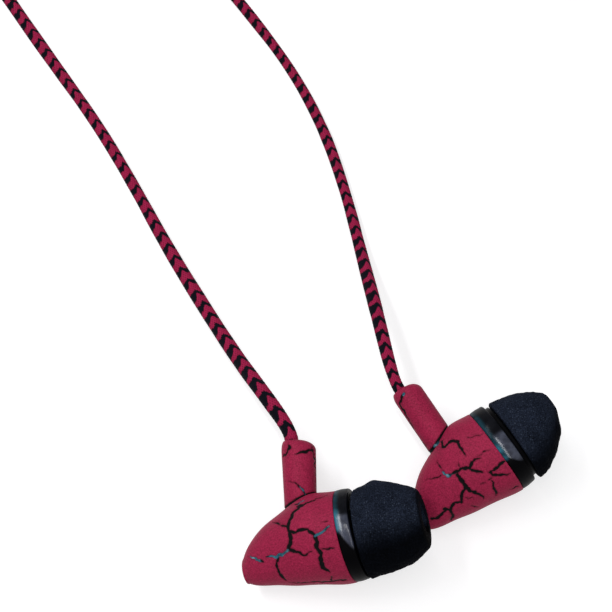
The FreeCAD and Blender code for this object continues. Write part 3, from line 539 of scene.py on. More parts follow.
def surface(tree, **values):
    """Sets or feeds the surface shader's sockets; underscores in a name stand for spaces."""
    for key, value in values.items():
        feed(tree.nodes["Principled BSDF"].inputs[key.replace("_", " ")], value)


# Finishes

def crackle_paint(colours):
    """Crimson over gloss black: the paint stops where the crack attribute falls below nought, and a
    painted blue-green glint shows in the cracks where the glint attribute does."""
    tree = new_material("crackle_paint")
    place = object_place(tree)
    edge = attribute_of(tree, "crack") + (noise(place, 2600.0) - 0.5) * 0.2
    painted = edge.remap(-0.04, 0.06)
    # Painted glint: a blue-green reflection painted into the cracks, in patches.
    glint = attribute_of(tree, "glint").remap(0.12, -0.02) * noise(place, 700.0, 2.0).remap(0.36, 0.6)
    # Painted shade: the paint darkens towards each crack's edge.
    crack_edge_shade = edge.remap(0.22, 0.02) * 0.55
    paint = blend(crack_edge_shade, mottle(tree, colours.crimson, 330.0, 0.2, 0.8), (0.12, 0.006, 0.022))
    # Paler spots in the painted glint.
    glint_spots = noise(place, 1500.0, 2.0).remap(0.5, 0.68)
    under = blend(glint, (0.0006, 0.0005, 0.0008), blend(glint_spots, colours.crack_glint_colour, (0.16, 0.28, 0.34)))
    fine = grain(tree, 5200.0, 0.4)
    rough = fine.remap(0.2, 0.8, 0.46, 0.62, smooth=False)
    surface(tree, Base_Color=blend(painted, under, paint), Specular_IOR_Level=0.07,
            Roughness=rough * painted + painted.rest() * 0.65,
            Normal=bump(painted + fine * 0.12, 0.04, 0.7))


def gloss_black():
    """Polished black plastic with faint swirls. Where the gloss attribute is set it has a coat and a
    painted highlight, and a painted blue-green glint runs along the edge where the paint stops.
    """
    tree = new_material("gloss_black")
    place = object_place(tree)
    patches = noise(place, 420.0).remap(0.36, 0.56, 0.3, 1.0)
    # Painted highlight and sheen: the gloss mark lightens the black towards blue-grey and sets the coat.
    coat_and_painted_sheen = attribute_of(tree, "gloss") * noise(place, 900.0).remap(0.35, 0.65, 0.55, 1.0)
    body = blend(coat_and_painted_sheen, (0.0008, 0.0008, 0.0012), (0.019, 0.025, 0.052))
    fine = grain(tree, 900.0, 0.6)
    # Painted glint: blue-green in patches along the paint's edge.
    surface(tree, Base_Color=blend(attribute_of(tree, "rim") * patches, body, (0.03, 0.145, 0.205)),
            Roughness=fine.remap(0.25, 0.75, 0.3, 0.4, smooth=False), Specular_IOR_Level=0.02,
            Coat_Weight=coat_and_painted_sheen, Coat_Roughness=0.17, Normal=bump(fine, 0.01, 0.25))


def foam(colours):
    """Open-cell foam: matte blue-black with pores and fine pale specks. Its colour darkens in the pores
    and by the shade attribute: painted shade in the pores, on the side away from the stem and on the left
    tip's nose."""
    tree = new_material("foam")
    place = object_place(tree)
    cells = node(tree, "TexVoronoi", {"Vector": place, "Scale": 3600.0}, "Distance")
    chosen = node(tree, "SeparateColor", {0: cells.beside("Color")}).remap(0.35, 0.95)
    speck = cells.remap(0.42, 0.1) * chosen
    pores = node(tree, "TexVoronoi", {"Vector": place, "Scale": 5200.0}, "Distance", feature="SMOOTH_F1")
    pale = blend(speck * 0.7, mottle(tree, colours.foam, 420.0, 0.6, 1.8), (0.062, 0.078, 0.112))
    # Painted shade: darker in the pores, and by the shade attribute away from the stem and on the left nose.
    light = pores.remap(0.12, 0.42, 0.45, 1.0) * attribute_of(tree, "shade")
    surface(tree, Base_Color=scaled(pale, light), Roughness=0.95, Specular_IOR_Level=0.02,
            Normal=bump(pores * 0.6 + grain(tree, 3600.0, 0.3), 0.05, 0.9))


def braid(colours):
    """A braid in two colours. U counts chevrons along the cord and V counts turns round it. A
    chevron's arms lag by up to 0.27 of the pitch over the first tenth of a turn from its point. A band
    is dark where U with that lag lies nearer to a whole number than half the dark share, which grows
    to the sides and, with the share, to the left."""
    tree = new_material("braid")
    along = node(tree, "SeparateXYZ", {0: node(tree, "UVMap", {}, uv_map="UVMap")})
    around = along.beside(1)
    apart = (around * 2.0).calc("PINGPONG", 0.5) * 2.0
    carriers, lay = around * 16.0, along * 4.0
    first = ((carriers + lay) * FULL_TURN).calc("SINE")
    second = ((carriers - lay) * FULL_TURN).calc("SINE")
    yarn = first.calc("MAXIMUM", second)
    wobble = (noise(object_place(tree), 900.0, 2.0) - 0.5) * 0.3
    phase = along + apart.remap(0.0, 0.4, 0.0, 0.27) + (wobble + yarn * 0.03)
    share = attribute_of(tree, "share")
    leftward = (around * -FULL_TURN).calc("SINE")
    sides = apart.remap(0.0, 0.4, -0.01, 0.06) + leftward * (share * 0.8 - 0.21)
    dark = (phase.calc("PINGPONG", 0.5) - (share * 0.5 + sides)).remap(0.05, -0.05)
    tint = blend(dark, mottle(tree, colours.yarn, 500.0, 0.25, 0.3), (0.0022, 0.0024, 0.0055))
    # Painted shade: the colour darkens in the hollows between the yarns.
    surface(tree, Base_Color=scaled(tint, yarn.remap(-0.6, 0.9, 0.62, 1.06)), Roughness=0.72,
            Specular_IOR_Level=0.05, Normal=bump(yarn, 0.03, 0.7))


def steel_mesh():
    """A fine woven screen: two families of wires at right angles, half a wave for each, with dark
    holes between them."""
    tree = new_material("steel_mesh")
    place = node(tree, "SeparateXYZ", {0: object_place(tree)})
    pace = math.pi / (0.24 * MM)
    first, second = ((place.beside(axis) * pace).calc("SINE").calc("ABSOLUTE") for axis in (1, 2))
    wires = first.calc("MAXIMUM", second).remap(0.55, 0.8)
    surface(tree, Base_Color=blend(wires, (0.004, 0.004, 0.004), (0.5, 0.5, 0.51)), Roughness=0.3,
            Metallic=wires, Normal=bump(wires, 0.03, 0.8))


def plain_finish(name, tint, roughness, scale, metallic=0.0, drift=0.2, relief=0.01, coat=0.0):
    """A finish of one colour: mottled, with grain in its roughness and its bump."""
    tree = new_material(name)
    fine = grain(tree, scale, 0.35)
    rough = fine.remap(0.2, 0.8, roughness - 0.05, roughness + 0.05, smooth=False)
    surface(tree, Base_Color=mottle(tree, tint, scale / 6, drift, drift / 2), Metallic=metallic,
            Coat_Weight=coat, Roughness=rough, Normal=bump(fine, relief, 0.6))


# Colour, roughness, scale of the grain, and what else sets a plain finish apart.
PLAIN_FINISHES = {
    "black_rubber": ((0.012, 0.012, 0.014), 0.55, 2600.0, {"relief": 0.03}),
    "tie_band": ((0.016, 0.016, 0.018), 0.62, 1500.0, {"relief": 0.05}),
    "insulator": ((0.01, 0.01, 0.011), 0.4, 1500.0, {}),
    "black_plastic": ((0.02, 0.02, 0.022), 0.45, 1900.0, {"relief": 0.02}),
    "diaphragm_film": ((0.45, 0.42, 0.32), 0.25, 700.0, {"coat": 0.5}),
    "copper": ((0.72, 0.30, 0.15), 0.35, 4200.0, {"metallic": 1.0, "relief": 0.03}),
    "plated_steel": ((0.56, 0.57, 0.58), 0.3, 1200.0, {"metallic": 1.0}),
    "magnet": ((0.38, 0.38, 0.40), 0.36, 800.0, {"metallic": 1.0}),
    "tip_core": ((0.02, 0.02, 0.023), 0.5, 1600.0, {}),
    "board": ((0.02, 0.16, 0.07), 0.42, 900.0, {"coat": 0.4}),
    "damper_cloth": ((0.62, 0.60, 0.55), 0.85, 4800.0, {"relief": 0.05}),
}


def finish(name):
    """The finish of that name; all of them are built the first time that one is asked for."""
    if "finish_crackle_paint" not in bpy.data.materials:
        colours = bpy.context.scene.earphone_finish
        for build in (crackle_paint, foam, braid):
            build(colours)
        gloss_black()
        steel_mesh()
        plain_finish("gold", colours.gold, 0.22, 900.0, metallic=1.0, drift=0.1, relief=0.004)
        for plain, (tint, roughness, scale, others) in PLAIN_FINISHES.items():
            plain_finish(plain, tint, roughness, scale, **others)
    return bpy.data.materials["finish_" + name]


# Cracks in the paint

# The cracks as the camera sees them, read from the photograph. Each is the crack's width in
# millimetres at its start, middle and end, and the points that it passes, in the image's pixels.
IMAGE_SIZE = 612
HOUSING_CRACKS = {
    "left": [
        ((0.45, 0.5, 0.45), [(298, 507), (293.5, 512.5), (290, 519), (287.5, 525.5)]),
        ((0.45, 0.5, 0.4), [(287.5, 525.5), (289.5, 532), (290.5, 537), (290, 543), (288, 550.5)]),
        ((0.35, 0.22, 0.1), [(287.5, 525.5), (281.5, 525), (276, 524), (272.5, 522)]),
        ((0.35, 0.36, 0.34),
         [(290, 532), (296, 531.5), (302.5, 529.5), (308, 529.5), (312.5, 534), (315, 535.5)]),
        ((0.5, 0.58, 0.55), [(315, 535.5), (316, 543), (317, 549), (320.5, 554), (321, 562), (323, 567.5)]),
        ((0.5, 0.4, 0.12), [(323, 567.5), (328, 570), (330, 572.5)]),
        ((0.2, 0.4, 0.3), [(331, 576.5), (331.5, 581)]),
        ((0.4, 0.36, 0.12),
         [(288, 550.5), (294.5, 552), (300, 552.5), (305.5, 555), (309, 552), (311.5, 551)]),
        ((0.3, 0.4, 0.35),
         [(277.5, 557), (276.5, 563.5), (277.5, 570), (280, 574.5), (284, 579), (286.5, 581.5)]),
        ((0.1, 0.3, 0.34),
         [(321, 548.5), (328, 548.5), (335, 548.5), (340, 551.5), (343, 554.5), (346, 562)]),
        ((0.4, 0.24, 0.1), [(299, 506.5), (308, 502.5), (316, 498.5), (322.5, 496.5), (327.5, 494.5)]),
        ((0.5, 0.5, 0.2), [(299, 507), (303, 504.5), (306, 503)]),
        ((0.1, 0.4, 0.3), [(334, 490.5), (331, 494), (331.5, 500)]),
        # Painted shade: a dark line along the housing's lower edge, given as a crack.
        ((0.15, 0.35, 0.3),
         [(290, 582.5), (303, 583), (317, 582.5), (331, 581.5), (344, 580), (352, 578.5)]),
        ((0.05, 0.13, 0.05), [(322, 523), (327, 521), (331, 518)]),
    ],
    "right": [
        ((0.4, 0.42, 0.4), [(441.5, 442), (442, 446), (445, 447), (449, 442), (454, 440), (457.5, 442)]),
        ((0.4, 0.34, 0.08), [(457.5, 442), (459.5, 447), (462, 449.5), (465.5, 456)]),
        ((0.3, 0.42, 0.34),
         [(454, 473), (458, 471), (462, 468), (468.5, 469), (475, 470.5), (482.5, 472.5)]),
        ((0.34, 0.3, 0.1), [(469.5, 468.5), (471.5, 463.5), (474.5, 459.5), (480, 458)]),
        ((0.4, 0.46, 0.4), [(457, 474), (462, 480.5), (466, 486.5), (469.5, 490), (475, 492.5)]),
        ((0.4, 0.3, 0.12), [(475, 492.5), (481, 495), (485, 499)]),
        ((0.38, 0.4, 0.36), [(466, 487.5), (462.5, 491.5), (461.5, 498), (462, 503)]),
        ((0.3, 0.42, 0.4), [(461, 503), (455.5, 503), (452.5, 505.5), (450, 510), (444, 509.5)]),
        ((0.36, 0.42, 0.3), [(445.5, 511), (440, 516), (435, 518.5), (431.5, 519)]),
        ((0.36, 0.42, 0.2), [(450, 510.5), (452.5, 514.5), (451.5, 520.5)]),
        ((0.15, 0.36, 0.3), [(489.5, 472.5), (495, 470), (500.5, 464.5), (504.5, 461.5)]),
        ((0.3, 0.36, 0.2), [(491.5, 472.5), (493.5, 475.5), (500.5, 475), (508, 475), (510, 473.5)]),
        ((0.12, 0.36, 0.2), [(492.5, 481), (494, 488), (496, 491.5), (496.5, 496.5)]),
        ((0.1, 0.24, 0.1), [(488.5, 479), (492.5, 477)]),
        ((0.05, 0.16, 0.05), [(436.5, 462), (440, 466), (442.5, 470)]),
        ((0.05, 0.13, 0.1), [(426, 480), (432.5, 479), (440, 476)]),
        ((0.05, 0.13, 0.05), [(467, 438), (474.5, 436), (482.5, 434)]),
        ((0.05, 0.16, 0.05), [(477, 457), (482.5, 452), (489, 449.5)]),
        ((0.05, 0.2, 0.05), [(472, 505.5), (476, 507), (479, 507.5)]),
        ((0.05, 0.24, 0.1), [(510.5, 489), (514, 488), (518.5, 486.5)]),
        ((0.05, 0.16, 0.1), [(458, 462), (460, 466.5)]),
        ((0.05, 0.16, 0.05), [(480.5, 484), (486, 482.5)]),
        ((0.05, 0.16, 0.05), [(466, 499), (472, 497.5), (474, 500)]),
    ],
}
# Lines of painted glint, a blue-green reflection in the cracks, in the same form.
HOUSING_GLINTS = {
    "left": [
        ((0.3, 0.4, 0.15), [(315, 535), (321.5, 532), (328, 528), (331.5, 524.5)]),
        ((0.4, 0.4, 0.15), [(288, 551), (282.5, 554.5), (276, 556.5), (269.5, 557.5), (265.5, 557)]),
        ((0.15, 0.42, 0.2), [(250, 556.5), (256, 558.5), (260, 561.5), (264, 562)]),
    ],
    "right": [
        ((0.15, 0.42, 0.4), [(442, 472), (445, 474.5), (448, 475.5), (451.5, 474.5), (454.5, 473)]),
    ],
}
STEM_CRACKS = {
    "left": [
        ((0.36, 0.36, 0.12), [(313, 451), (305.5, 451.5), (300, 452.5), (294.5, 454)]),
        ((0.3, 0.3, 0.3), [(286.8, 437.5), (287.5, 440.5), (289.5, 447.5), (286, 454.5), (282.5, 455.5)]),
        ((0.08, 0.2, 0.24), [(289, 481.5), (296, 483.5), (301.5, 488.5), (305, 494), (309, 497)]),
        # Painted shade: a dark line down the stem's right edge, given as a crack.
        ((0.1, 0.28, 0.1), [(310.5, 444), (313.8, 452), (315, 463), (315.8, 476)]),
    ],
    "right": [
        ((0.3, 0.36, 0.3), [(403.5, 394), (401, 399.5), (400, 404.5), (403, 410)]),
        ((0.3, 0.2, 0.12), [(403, 410), (407.5, 418), (414.5, 429.5), (420, 439), (426.5, 448)]),
    ],
}
# Painted glint on the stems, in the same form.
STEM_GLINTS = {
    "left": [((0.1, 0.24, 0.1), [(300, 486.5), (303.5, 491), (306, 495)])],
    "right": [((0.3, 0.4, 0.3), [(402, 388.5), (403, 391), (403, 395)])],
}
# Painted glint along the joint of stem and housing, in the same form.
JOINT_GLINTS = {
    "left": [((0.2, 0.42, 0.2), [(295, 504.5), (299, 502.5), (304, 500)])],
    "right": [((0.2, 0.46, 0.2), [(434, 446.5), (438, 444), (442, 440.5)])],
}


# How far the cracks' lines wander and how unevenly they widen, and over what distance, in pixels.
WANDER = (0.45, 7.0)
WIDENING = (0.22, 5.0)
LINE_STEP = 0.5
# The breadth of the step from the paint down into a crack, and how far from a crack it is measured.
CRACK_EDGE = 0.16 * MM
CRACK_REACH = 1.0 * MM
# The part of a ray that is searched, as shares of the camera's distance, and in how many steps.
RAY_START, RAY_END, RAY_STEPS = 0.9, 1.03, 260
# How many points are measured at once.
CHUNK = 4000


def cast(surface_at, side, pixels, studio):
    """Where the camera's rays through the pixels first meet an earbud's surface, in its own axes.
    surface_at gives a point's distance outside it. Along each ray it is taken at even steps, and the
    meeting point lies between the last step outside and the first inside, in proportion."""
    offset = (pixels / IMAGE_SIZE - 0.5) * studio.sensor / studio.lens
    tilt = math.pi / 2 - studio.elevation
    ahead = np.array([0, math.sin(tilt), -math.cos(tilt)])
    up = np.array([0, math.cos(tilt), math.sin(tilt)])
    rays = ahead + offset[:, :1] * np.array([1.0, 0, 0]) - offset[:, 1:] * up
    eye = np.array([studio.aim_x, studio.aim_y, 0]) - studio.distance * ahead
    turn = turn_matrix(side)
    eye = (eye - np.array(LIE[side][0]) * MM) @ turn
    reach = np.linspace(RAY_START, RAY_END, RAY_STEPS)[:, None] * studio.distance
    points = eye + reach[..., None] * (rays @ turn)
    outside = surface_at(points)
    step = np.where((outside < 0).any(0), (outside < 0).argmax(0), outside.argmin(0))
    ray = np.arange(len(pixels))
    before = outside[step - 1, ray]
    after = outside[step, ray]
    share = np.where(after < 0, before / (before - after), 1.0)[:, None]
    return points[step - 1, ray] * (1 - share) + points[step, ray] * share


def crack_line(crack, surface_at, side, studio, seed):
    """A crack's points on the surface, half a pixel apart, with half its width at each. The points
    wander by up to about a pixel, and the width goes evenly from start to middle to end."""
    widths, corners = crack
    whole = way_along(corners)[-1]
    where = np.arange(0, whole, LINE_STEP)
    line = points_at(corners, where)
    flat = np.concatenate([line, np.zeros((len(line), 1))], axis=1)
    wander = np.stack([waves(flat, WANDER[1], seed), waves(flat, WANDER[1], seed + 1)], axis=-1)
    half = np.interp(where / whole, [0, 0.5, 1], widths) * MM / 2
    half *= np.clip(1 + WIDENING[0] * waves(flat, WIDENING[1], seed + 2), 0.6, 1.4)
    return cast(surface_at, side, line + WANDER[0] * wander, studio), half


def outside_line(points, line, half):
    """How far points lie outside a line that is half wide at each of its points: negative inside."""
    field = np.full(len(points), CRACK_REACH)
    near = (points > line.min(0) - CRACK_REACH) & (points < line.max(0) + CRACK_REACH)
    near = np.flatnonzero(near.all(1))
    for chunk in np.array_split(near, max(1, len(near) // CHUNK)):
        apart = np.linalg.norm(points[chunk, None] - line[None], axis=-1) - half
        field[chunk] = np.minimum(CRACK_REACH, apart.min(1))
    return field


def crack_field(points, cracks, surface_at, side, studio, flip=1, moved=0):
    """For each point, how far it lies outside the nearest crack. The cracks' lines may be flipped to
    the underside and moved first."""
    field = np.full(len(points), CRACK_REACH)
    for number, crack in enumerate(cracks):
        line, half = crack_line(crack, surface_at, side, studio, SEED + 10 * number)
        field = np.minimum(field, outside_line(points, line * flip + moved, half))
    return field


def paint_fields(points, sizes, surfaces, side, cracks, glints, studio, moved):
    """Distances to the nearest crack or joint, and to the nearest one with a painted glint. The underside
    has the other earbud's cracks, mirrored and moved."""
    other = SIDES[SIDES[0] == side]

    def nearest(own, others):
        """The distance to the nearest of this earbud's own lines and the other's, underneath."""
        under = crack_field(points, others, surfaces[other], other, studio, np.array([1, 1, -1]), moved)
        return np.minimum(crack_field(points, own, surfaces[side], side, studio), under)
    dark = np.minimum(nearest(cracks[side], cracks[other]), outside_line(points, *joint_line(sizes, side)))
    bright = nearest(glints[side] + JOINT_GLINTS[side], glints[other])
    return np.minimum(dark, bright), bright


# Housings

def housing_circle(back):
    """The housing's circle at a distance behind the seam: its shift towards the stem and its radius."""
    knots, shifts, radii = HOUSING_SECTIONS.T
    return spline_through(knots, shifts, back), spline_through(knots, radii, back)


def outside_housing(points):
    """How far points lie outside the housing: square root of (y - shift) squared plus z squared,
    less the radius, both at the point's own distance behind the seam."""
    back = -points[..., 0]
    last = HOUSING_SECTIONS[-1, 0]
    shift, radius = housing_circle(np.clip(back, 0, last))
    distance = np.hypot(points[..., 1] - shift, points[..., 2]) - radius
    return np.maximum(distance, np.maximum(-back, back - last))


def housing_grid(sizes, side):
    """Rings of the pebble: ring b is a circle square to X, at -b, whose shift and radius are splines
    of b. The rear end is a quarter round, then a shallow crown down to the middle."""
    last, last_shift, last_radius = HOUSING_SECTIONS[-1]
    edge = last - sizes.end_round
    back = np.arange(-PAINT_REACH[side], edge, sizes.skin_step)
    shift, radius = housing_circle(back)
    edge_shift, edge_radius = housing_circle(np.array([edge]))
    turn = np.linspace(0, np.pi / 2, 7)
    inner = last_radius - sizes.end_round
    crown = np.linspace(1, 0.12, 6)[1:]
    back = np.concatenate([back, edge + sizes.end_round * np.sin(turn),
                           last + CROWN_HEIGHT * (1 - crown ** 2)])
    radius = np.concatenate([radius, inner + (edge_radius - inner) * np.cos(turn), inner * crown])
    shift = np.concatenate([shift, edge_shift + (last_shift - edge_shift) * np.sin(turn),
                            np.full(len(crown), last_shift)])
    angle = round_angles(rounds_for(sizes.rim_radius, sizes.skin_step))
    outward = np.stack([0 * angle, np.cos(angle), np.sin(angle)], axis=-1)
    middle = np.stack([-back, shift, 0 * back], axis=-1)
    return middle[:, None] + radius[:, None, None] * outward, outward


def stem_axes(side):
    """The stem's start, its direction, and the direction square to it towards the rear."""
    angle = math.radians(STEMS[side]["angle"])
    direction = np.array([math.cos(angle), math.sin(angle), 0])
    return np.array([-STEMS[side]["back"], 0, 0]), direction, np.array([-direction[1], direction[0], 0])


def stem_outward(side, angle):
    """The directions straight out of the stem, at angles round it from its rear."""
    return np.cos(angle)[:, None] * stem_axes(side)[2] + np.sin(angle)[:, None] * np.array([0, 0, 1])


def stem_radius(sizes, side, reach):
    """The stem's radius at a distance along it, going evenly from the foot's to the top's."""
    stem = STEMS[side]
    return np.interp(reach, [STEM_FOOT, sizes.stem_reach - sizes.stem_round], [stem["foot"], stem["top"]])


def stem_foot(side, angle, outside=0.0):
    """Where the stem's side, or a line outside it, meets the housing, for each angle round it. From a
    first guess the distance is moved on by the housing's height above the point, until they meet."""
    start, direction, _ = stem_axes(side)
    aside = (STEMS[side]["foot"] + outside) * stem_outward(side, angle)
    reach = np.full(len(angle), HOUSING_SECTIONS[0, 2])
    for _ in range(12):
        point = start + reach[:, None] * direction + aside
        shift, radius = housing_circle(-point[:, 0])
        height = shift + np.sqrt(np.clip(radius ** 2 - point[:, 2] ** 2, 0, None))
        reach = reach + (height - point[:, 1]) / direction[1]
    return reach


def joint_line(sizes, side):
    """Points of the line on the housing round the stem, with half its width: widest at the rear."""
    angle = round_angles(240)
    start, direction, _ = stem_axes(side)
    reach = stem_foot(side, angle, sizes.joint_offset)
    aside = (STEMS[side]["foot"] + sizes.joint_offset) * stem_outward(side, angle)
    fullness = 0.4 + 0.6 * np.clip(0.45 + 0.75 * np.cos(angle), 0, 1)
    return start + reach[:, None] * direction + aside, sizes.joint_width / 2 * fullness


def painted_piece(side, name, grid, outward, fields, sizes, node_name):
    """A painted skin whose cracks are sunk into it by a smooth step, with both fields, in
    millimetres, for its finish to read."""
    sunk = sizes.crack_depth * smoothed(np.clip(0.5 - fields[0] / CRACK_EDGE, 0, 1))
    mesh = skin(side + name, laid(side, grid - sunk.reshape(*grid.shape[:2], 1) * outward))
    for label, field in zip(("crack", "glint"), fields):
        add_attribute(mesh, label, np.concatenate([field, [MM, MM]]) / MM)
    return new_piece(mesh, "root", "crackle_paint", side + node_name)


class EARPHONES_OT_housings(Operator):
    """Add the two painted housings with the cracks in their paint"""
    bl_idname = "earphones.housings"
    bl_label = "Painted housings"

    def execute(self, context):
        sizes = context.scene.earphone_housing
        surfaces = dict.fromkeys(SIDES, outside_housing)
        for side in SIDES:
            grid, outward = housing_grid(sizes, side)
            fields = paint_fields(grid.reshape(-1, 3), sizes, surfaces, side, HOUSING_CRACKS,
                                  HOUSING_GLINTS, context.scene.earphone_studio, 0)
            painted_piece(side, "_housing", grid, outward, fields, sizes, "_rear_shell")
        return {"FINISHED"}


def outside_stem(sizes, side):
    """How far points lie outside the stem: their distance from its centre line less its radius there."""
    start, direction, _ = stem_axes(side)

    def outside(points):
        """The distance at each point."""
        along = (points - start) @ direction
        aside = np.linalg.norm(points - start - along[..., None] * direction, axis=-1)
        return np.maximum(aside - stem_radius(sizes, side, along), along - sizes.stem_reach)
    return outside


def stem_grid(sizes, side, socket_radius):
    """Rings of the stem. It starts a little inside the housing, rises from the joint to its full
    radius, runs straight, and closes over a quarter ellipse onto the rim of the cord's socket,
    whose centre lies off the stem's. Then it goes down the socket."""
    start, direction, rearward = stem_axes(side)
    angle = round_angles(rounds_for(STEMS[side]["foot"], sizes.skin_step))
    outward = stem_outward(side, angle)
    foot = stem_foot(side, angle)
    shoulder = sizes.stem_reach - sizes.stem_round
    rows = int(np.ceil((shoulder - foot.min()) / sizes.skin_step))
    rise = foot + (shoulder - foot) * np.linspace(0, 1, rows)[:, None]
    turn = np.linspace(0, np.pi / 2, 16)[1:]
    closing = 1 - np.cos(turn)
    dome = shoulder + sizes.stem_round * np.sin(turn)
    down = sizes.stem_reach - np.array([0.15, 0.5, 1.0]) * sizes.socket_depth
    reach = np.concatenate([foot[None] - STEM_SINK, rise])
    radius = stem_radius(sizes, side, reach)
    top = radius[-1]
    offset = STEMS[side]["socket"]
    middle = np.concatenate([np.zeros(len(reach)), offset * closing, np.full(len(down), offset)])
    reach = np.concatenate([reach, np.concatenate([dome, down])[:, None] + 0 * angle])
    radius = np.concatenate([radius, top + (socket_radius - top) * closing[:, None],
                             np.full((len(down), len(angle)), socket_radius)])
    return (start + reach[:, :, None] * direction + middle[:, None, None] * rearward
            + radius[:, :, None] * outward), outward


class EARPHONES_OT_stems(Operator):
    """Add the two painted stems, saddled on the housings"""
    bl_idname = "earphones.stems"
    bl_label = "Painted stems"

    def execute(self, context):
        sizes = context.scene.earphone_housing
        socket_radius = context.scene.earphone_cords.radius + SOCKET_GAP * MM
        surfaces = {side: outside_stem(sizes, side) for side in SIDES}
        for side, other in (SIDES, SIDES[::-1]):
            grid, outward = stem_grid(sizes, side, socket_radius)
            fields = paint_fields(grid.reshape(-1, 3), sizes, surfaces, side, STEM_CRACKS, STEM_GLINTS,
                                  context.scene.earphone_studio, stem_axes(side)[0] - stem_axes(other)[0])
            painted_piece(side, "_stem_tube", grid, outward, fields, sizes, "_stem")
        return {"FINISHED"}


def collar_outline(sizes, side):
    """The front cap's section: spigot in the housing, collar from the paint's edge, nozzle, lip and
    the hollow behind the nozzle. A corner is given along by a base and millimetres ahead of it, across
    by a radius and millimetres beyond it, and has a rounding in millimetres."""
    rim, start, front = sizes.rim_radius, PAINT_REACH[side], COLLAR_FRONT[side]
    nozzle, end = sizes.nozzle_radius, sizes.nozzle_reach
    lip = nozzle + 0.2 * MM
    corners = np.array([
        (0, -1.6, 0, 4.35, 0), (0, -1.6, rim, -1.05, 0), (start, 0.02, rim, -1.05, 0),
        (start, 0.02, rim, -0.2, 0.02), (start, 0.16, rim, -0.06, 0.1), (start, 0.9, rim, -0.01, 4.0),
        (front, 0, rim, -0.16, 0.3), (front, 0, rim, -0.75, 0.1), (0, 2.92, rim, -0.8, 0.05),
        (0, 2.92, 0, 3.2, 0.2), (0, 3.6, nozzle, 0, 0.3), (end, -0.8, nozzle, 0, 0.05),
        (end, -0.8, lip, 0, 0.08), (end, -0.3, lip, 0, 0.12), (end, 0, lip, -0.3, 0.1),
        (end, 0, 0, 2.0, 0.04), (end, -0.2, 0, 2.0, 0), (end, -0.2, 0, 1.6, 0), (0, 2.6, 0, 1.6, 0),
        (0, 1.1, 0, 3.75, 0), (0, 0.4, 0, 3.75, 0), (0, 0.4, 0, 4.35, 0)])
    along, radius = corners[:, 0] + corners[:, 1] * MM, corners[:, 2] + corners[:, 3] * MM
    return rounded_outline(np.stack([along, radius, corners[:, 4] * MM], axis=1), COLLAR_STEP)


def collar_marks(sizes, side, outline, columns):
    """Two marks for the collar's finish, both painted light. The rim is a painted blue-green glint,
    brightest 0.25 mm ahead of the paint's edge and fading over half a millimetre. The gloss gives a coat
    and a painted highlight: 1 between two angles round the nozzle and ahead of a line, and a weak painted
    sheen from the stem's side down to there."""
    start, front = PAINT_REACH[side], COLLAR_FRONT[side]
    begin, wide, last, low = PAINTED_HIGHLIGHT_ZONES[side]
    angle = np.degrees(round_angles(columns))
    angle = np.minimum(angle, 360 - angle)[None]
    along = outline[:, 0, None]
    outer = outline[:, 1, None] > sizes.rim_radius - 0.6 * MM
    share = (along - start) / (front - start)
    bright = 0.25 + 0.75 * ramp(angle, wide - 30, 10)
    rim = bright * np.clip(1.35 - np.abs(along - start - 0.25 * MM) / (0.5 * MM), 0, 1)
    rim = rim * outer * ramp(angle, 10, 15) * ramp(angle, wide + 4, -6)
    # Painted highlight zone, with a weak painted sheen above it.
    line = np.interp(angle, [begin, wide, last], [low, low, 0.8])
    zone = ramp(angle, begin, 5) * ramp(angle, last, -5) * ramp(share, line, 0.12) * ramp(share, 1.02, -0.1)
    coat_and_painted_sheen = 0.07 * ramp(angle, 12, 12) * ramp(angle, begin + 5, -5)
    return rim, np.maximum(zone, coat_and_painted_sheen) * outer


class EARPHONES_OT_front_caps(Operator):
    """Add the gloss front caps: collar, nozzle and lip, hollow for the driver and the sound"""
    bl_idname = "earphones.front_caps"
    bl_label = "Gloss front caps"

    def execute(self, context):
        sizes = context.scene.earphone_housing
        columns = rounds_for(sizes.rim_radius, 1.1 * COLLAR_STEP)
        for side in SIDES:
            outline = collar_outline(sizes, side)
            rings = laid(side, turned_rings(outline, columns))
            mesh = skin(side + "_collar_and_nozzle", rings, rows_close=True)
            for label, marks in zip(("rim", "gloss"), collar_marks(sizes, side, outline, columns)):
                add_attribute(mesh, label, marks.ravel())
            new_piece(mesh, "root", "gloss_black", side + "_front_cap")
        return {"FINISHED"}


# Ear tips

# The foam's section: rear face, shoulder, taper, nose, sound hole and the seat of its core. A corner
# is (ahead of the seam, radius, rounding) in millimetres.
FOAM_SECTIONS = {
    "left": [(3.15, 3.32, 0), (3.15, 6.3, 0.2), (6.3, 6.6, 2.0), (9.0, 5.85, 4.0), (10.6, 5.12, 2.0),
             (12.3, 4.05, 1.2), (12.3, 1.9, 0.35), (9.62, 1.9, 0), (9.62, 3.32, 0)],
    "right": [(3.1, 3.32, 0), (3.1, 6.46, 0.3), (5.0, 6.12, 4.0), (7.3, 5.12, 5.0), (9.3, 3.6, 4.0),
              (10.45, 2.0, 1.0), (10.85, 1.15, 0.15), (9.05, 1.15, 0), (9.05, 2.52, 0), (8.0, 3.32, 0)],
}
# How the worn foam leans towards the stem: ahead of the seam, shift.
FOAM_LEANS = {
    "left": [(3.0, -0.28), (5.0, 0.0), (6.4, 0.24), (8.0, 0.06), (9.0, -0.1), (10.0, -0.12), (10.9, 0.0)],
    "right": [(3.0, -0.26), (5.0, -0.22), (7.1, 0.0), (9.35, 0.41), (10.0, 0.65), (10.5, 0.9), (11.0, 1.1)],
}
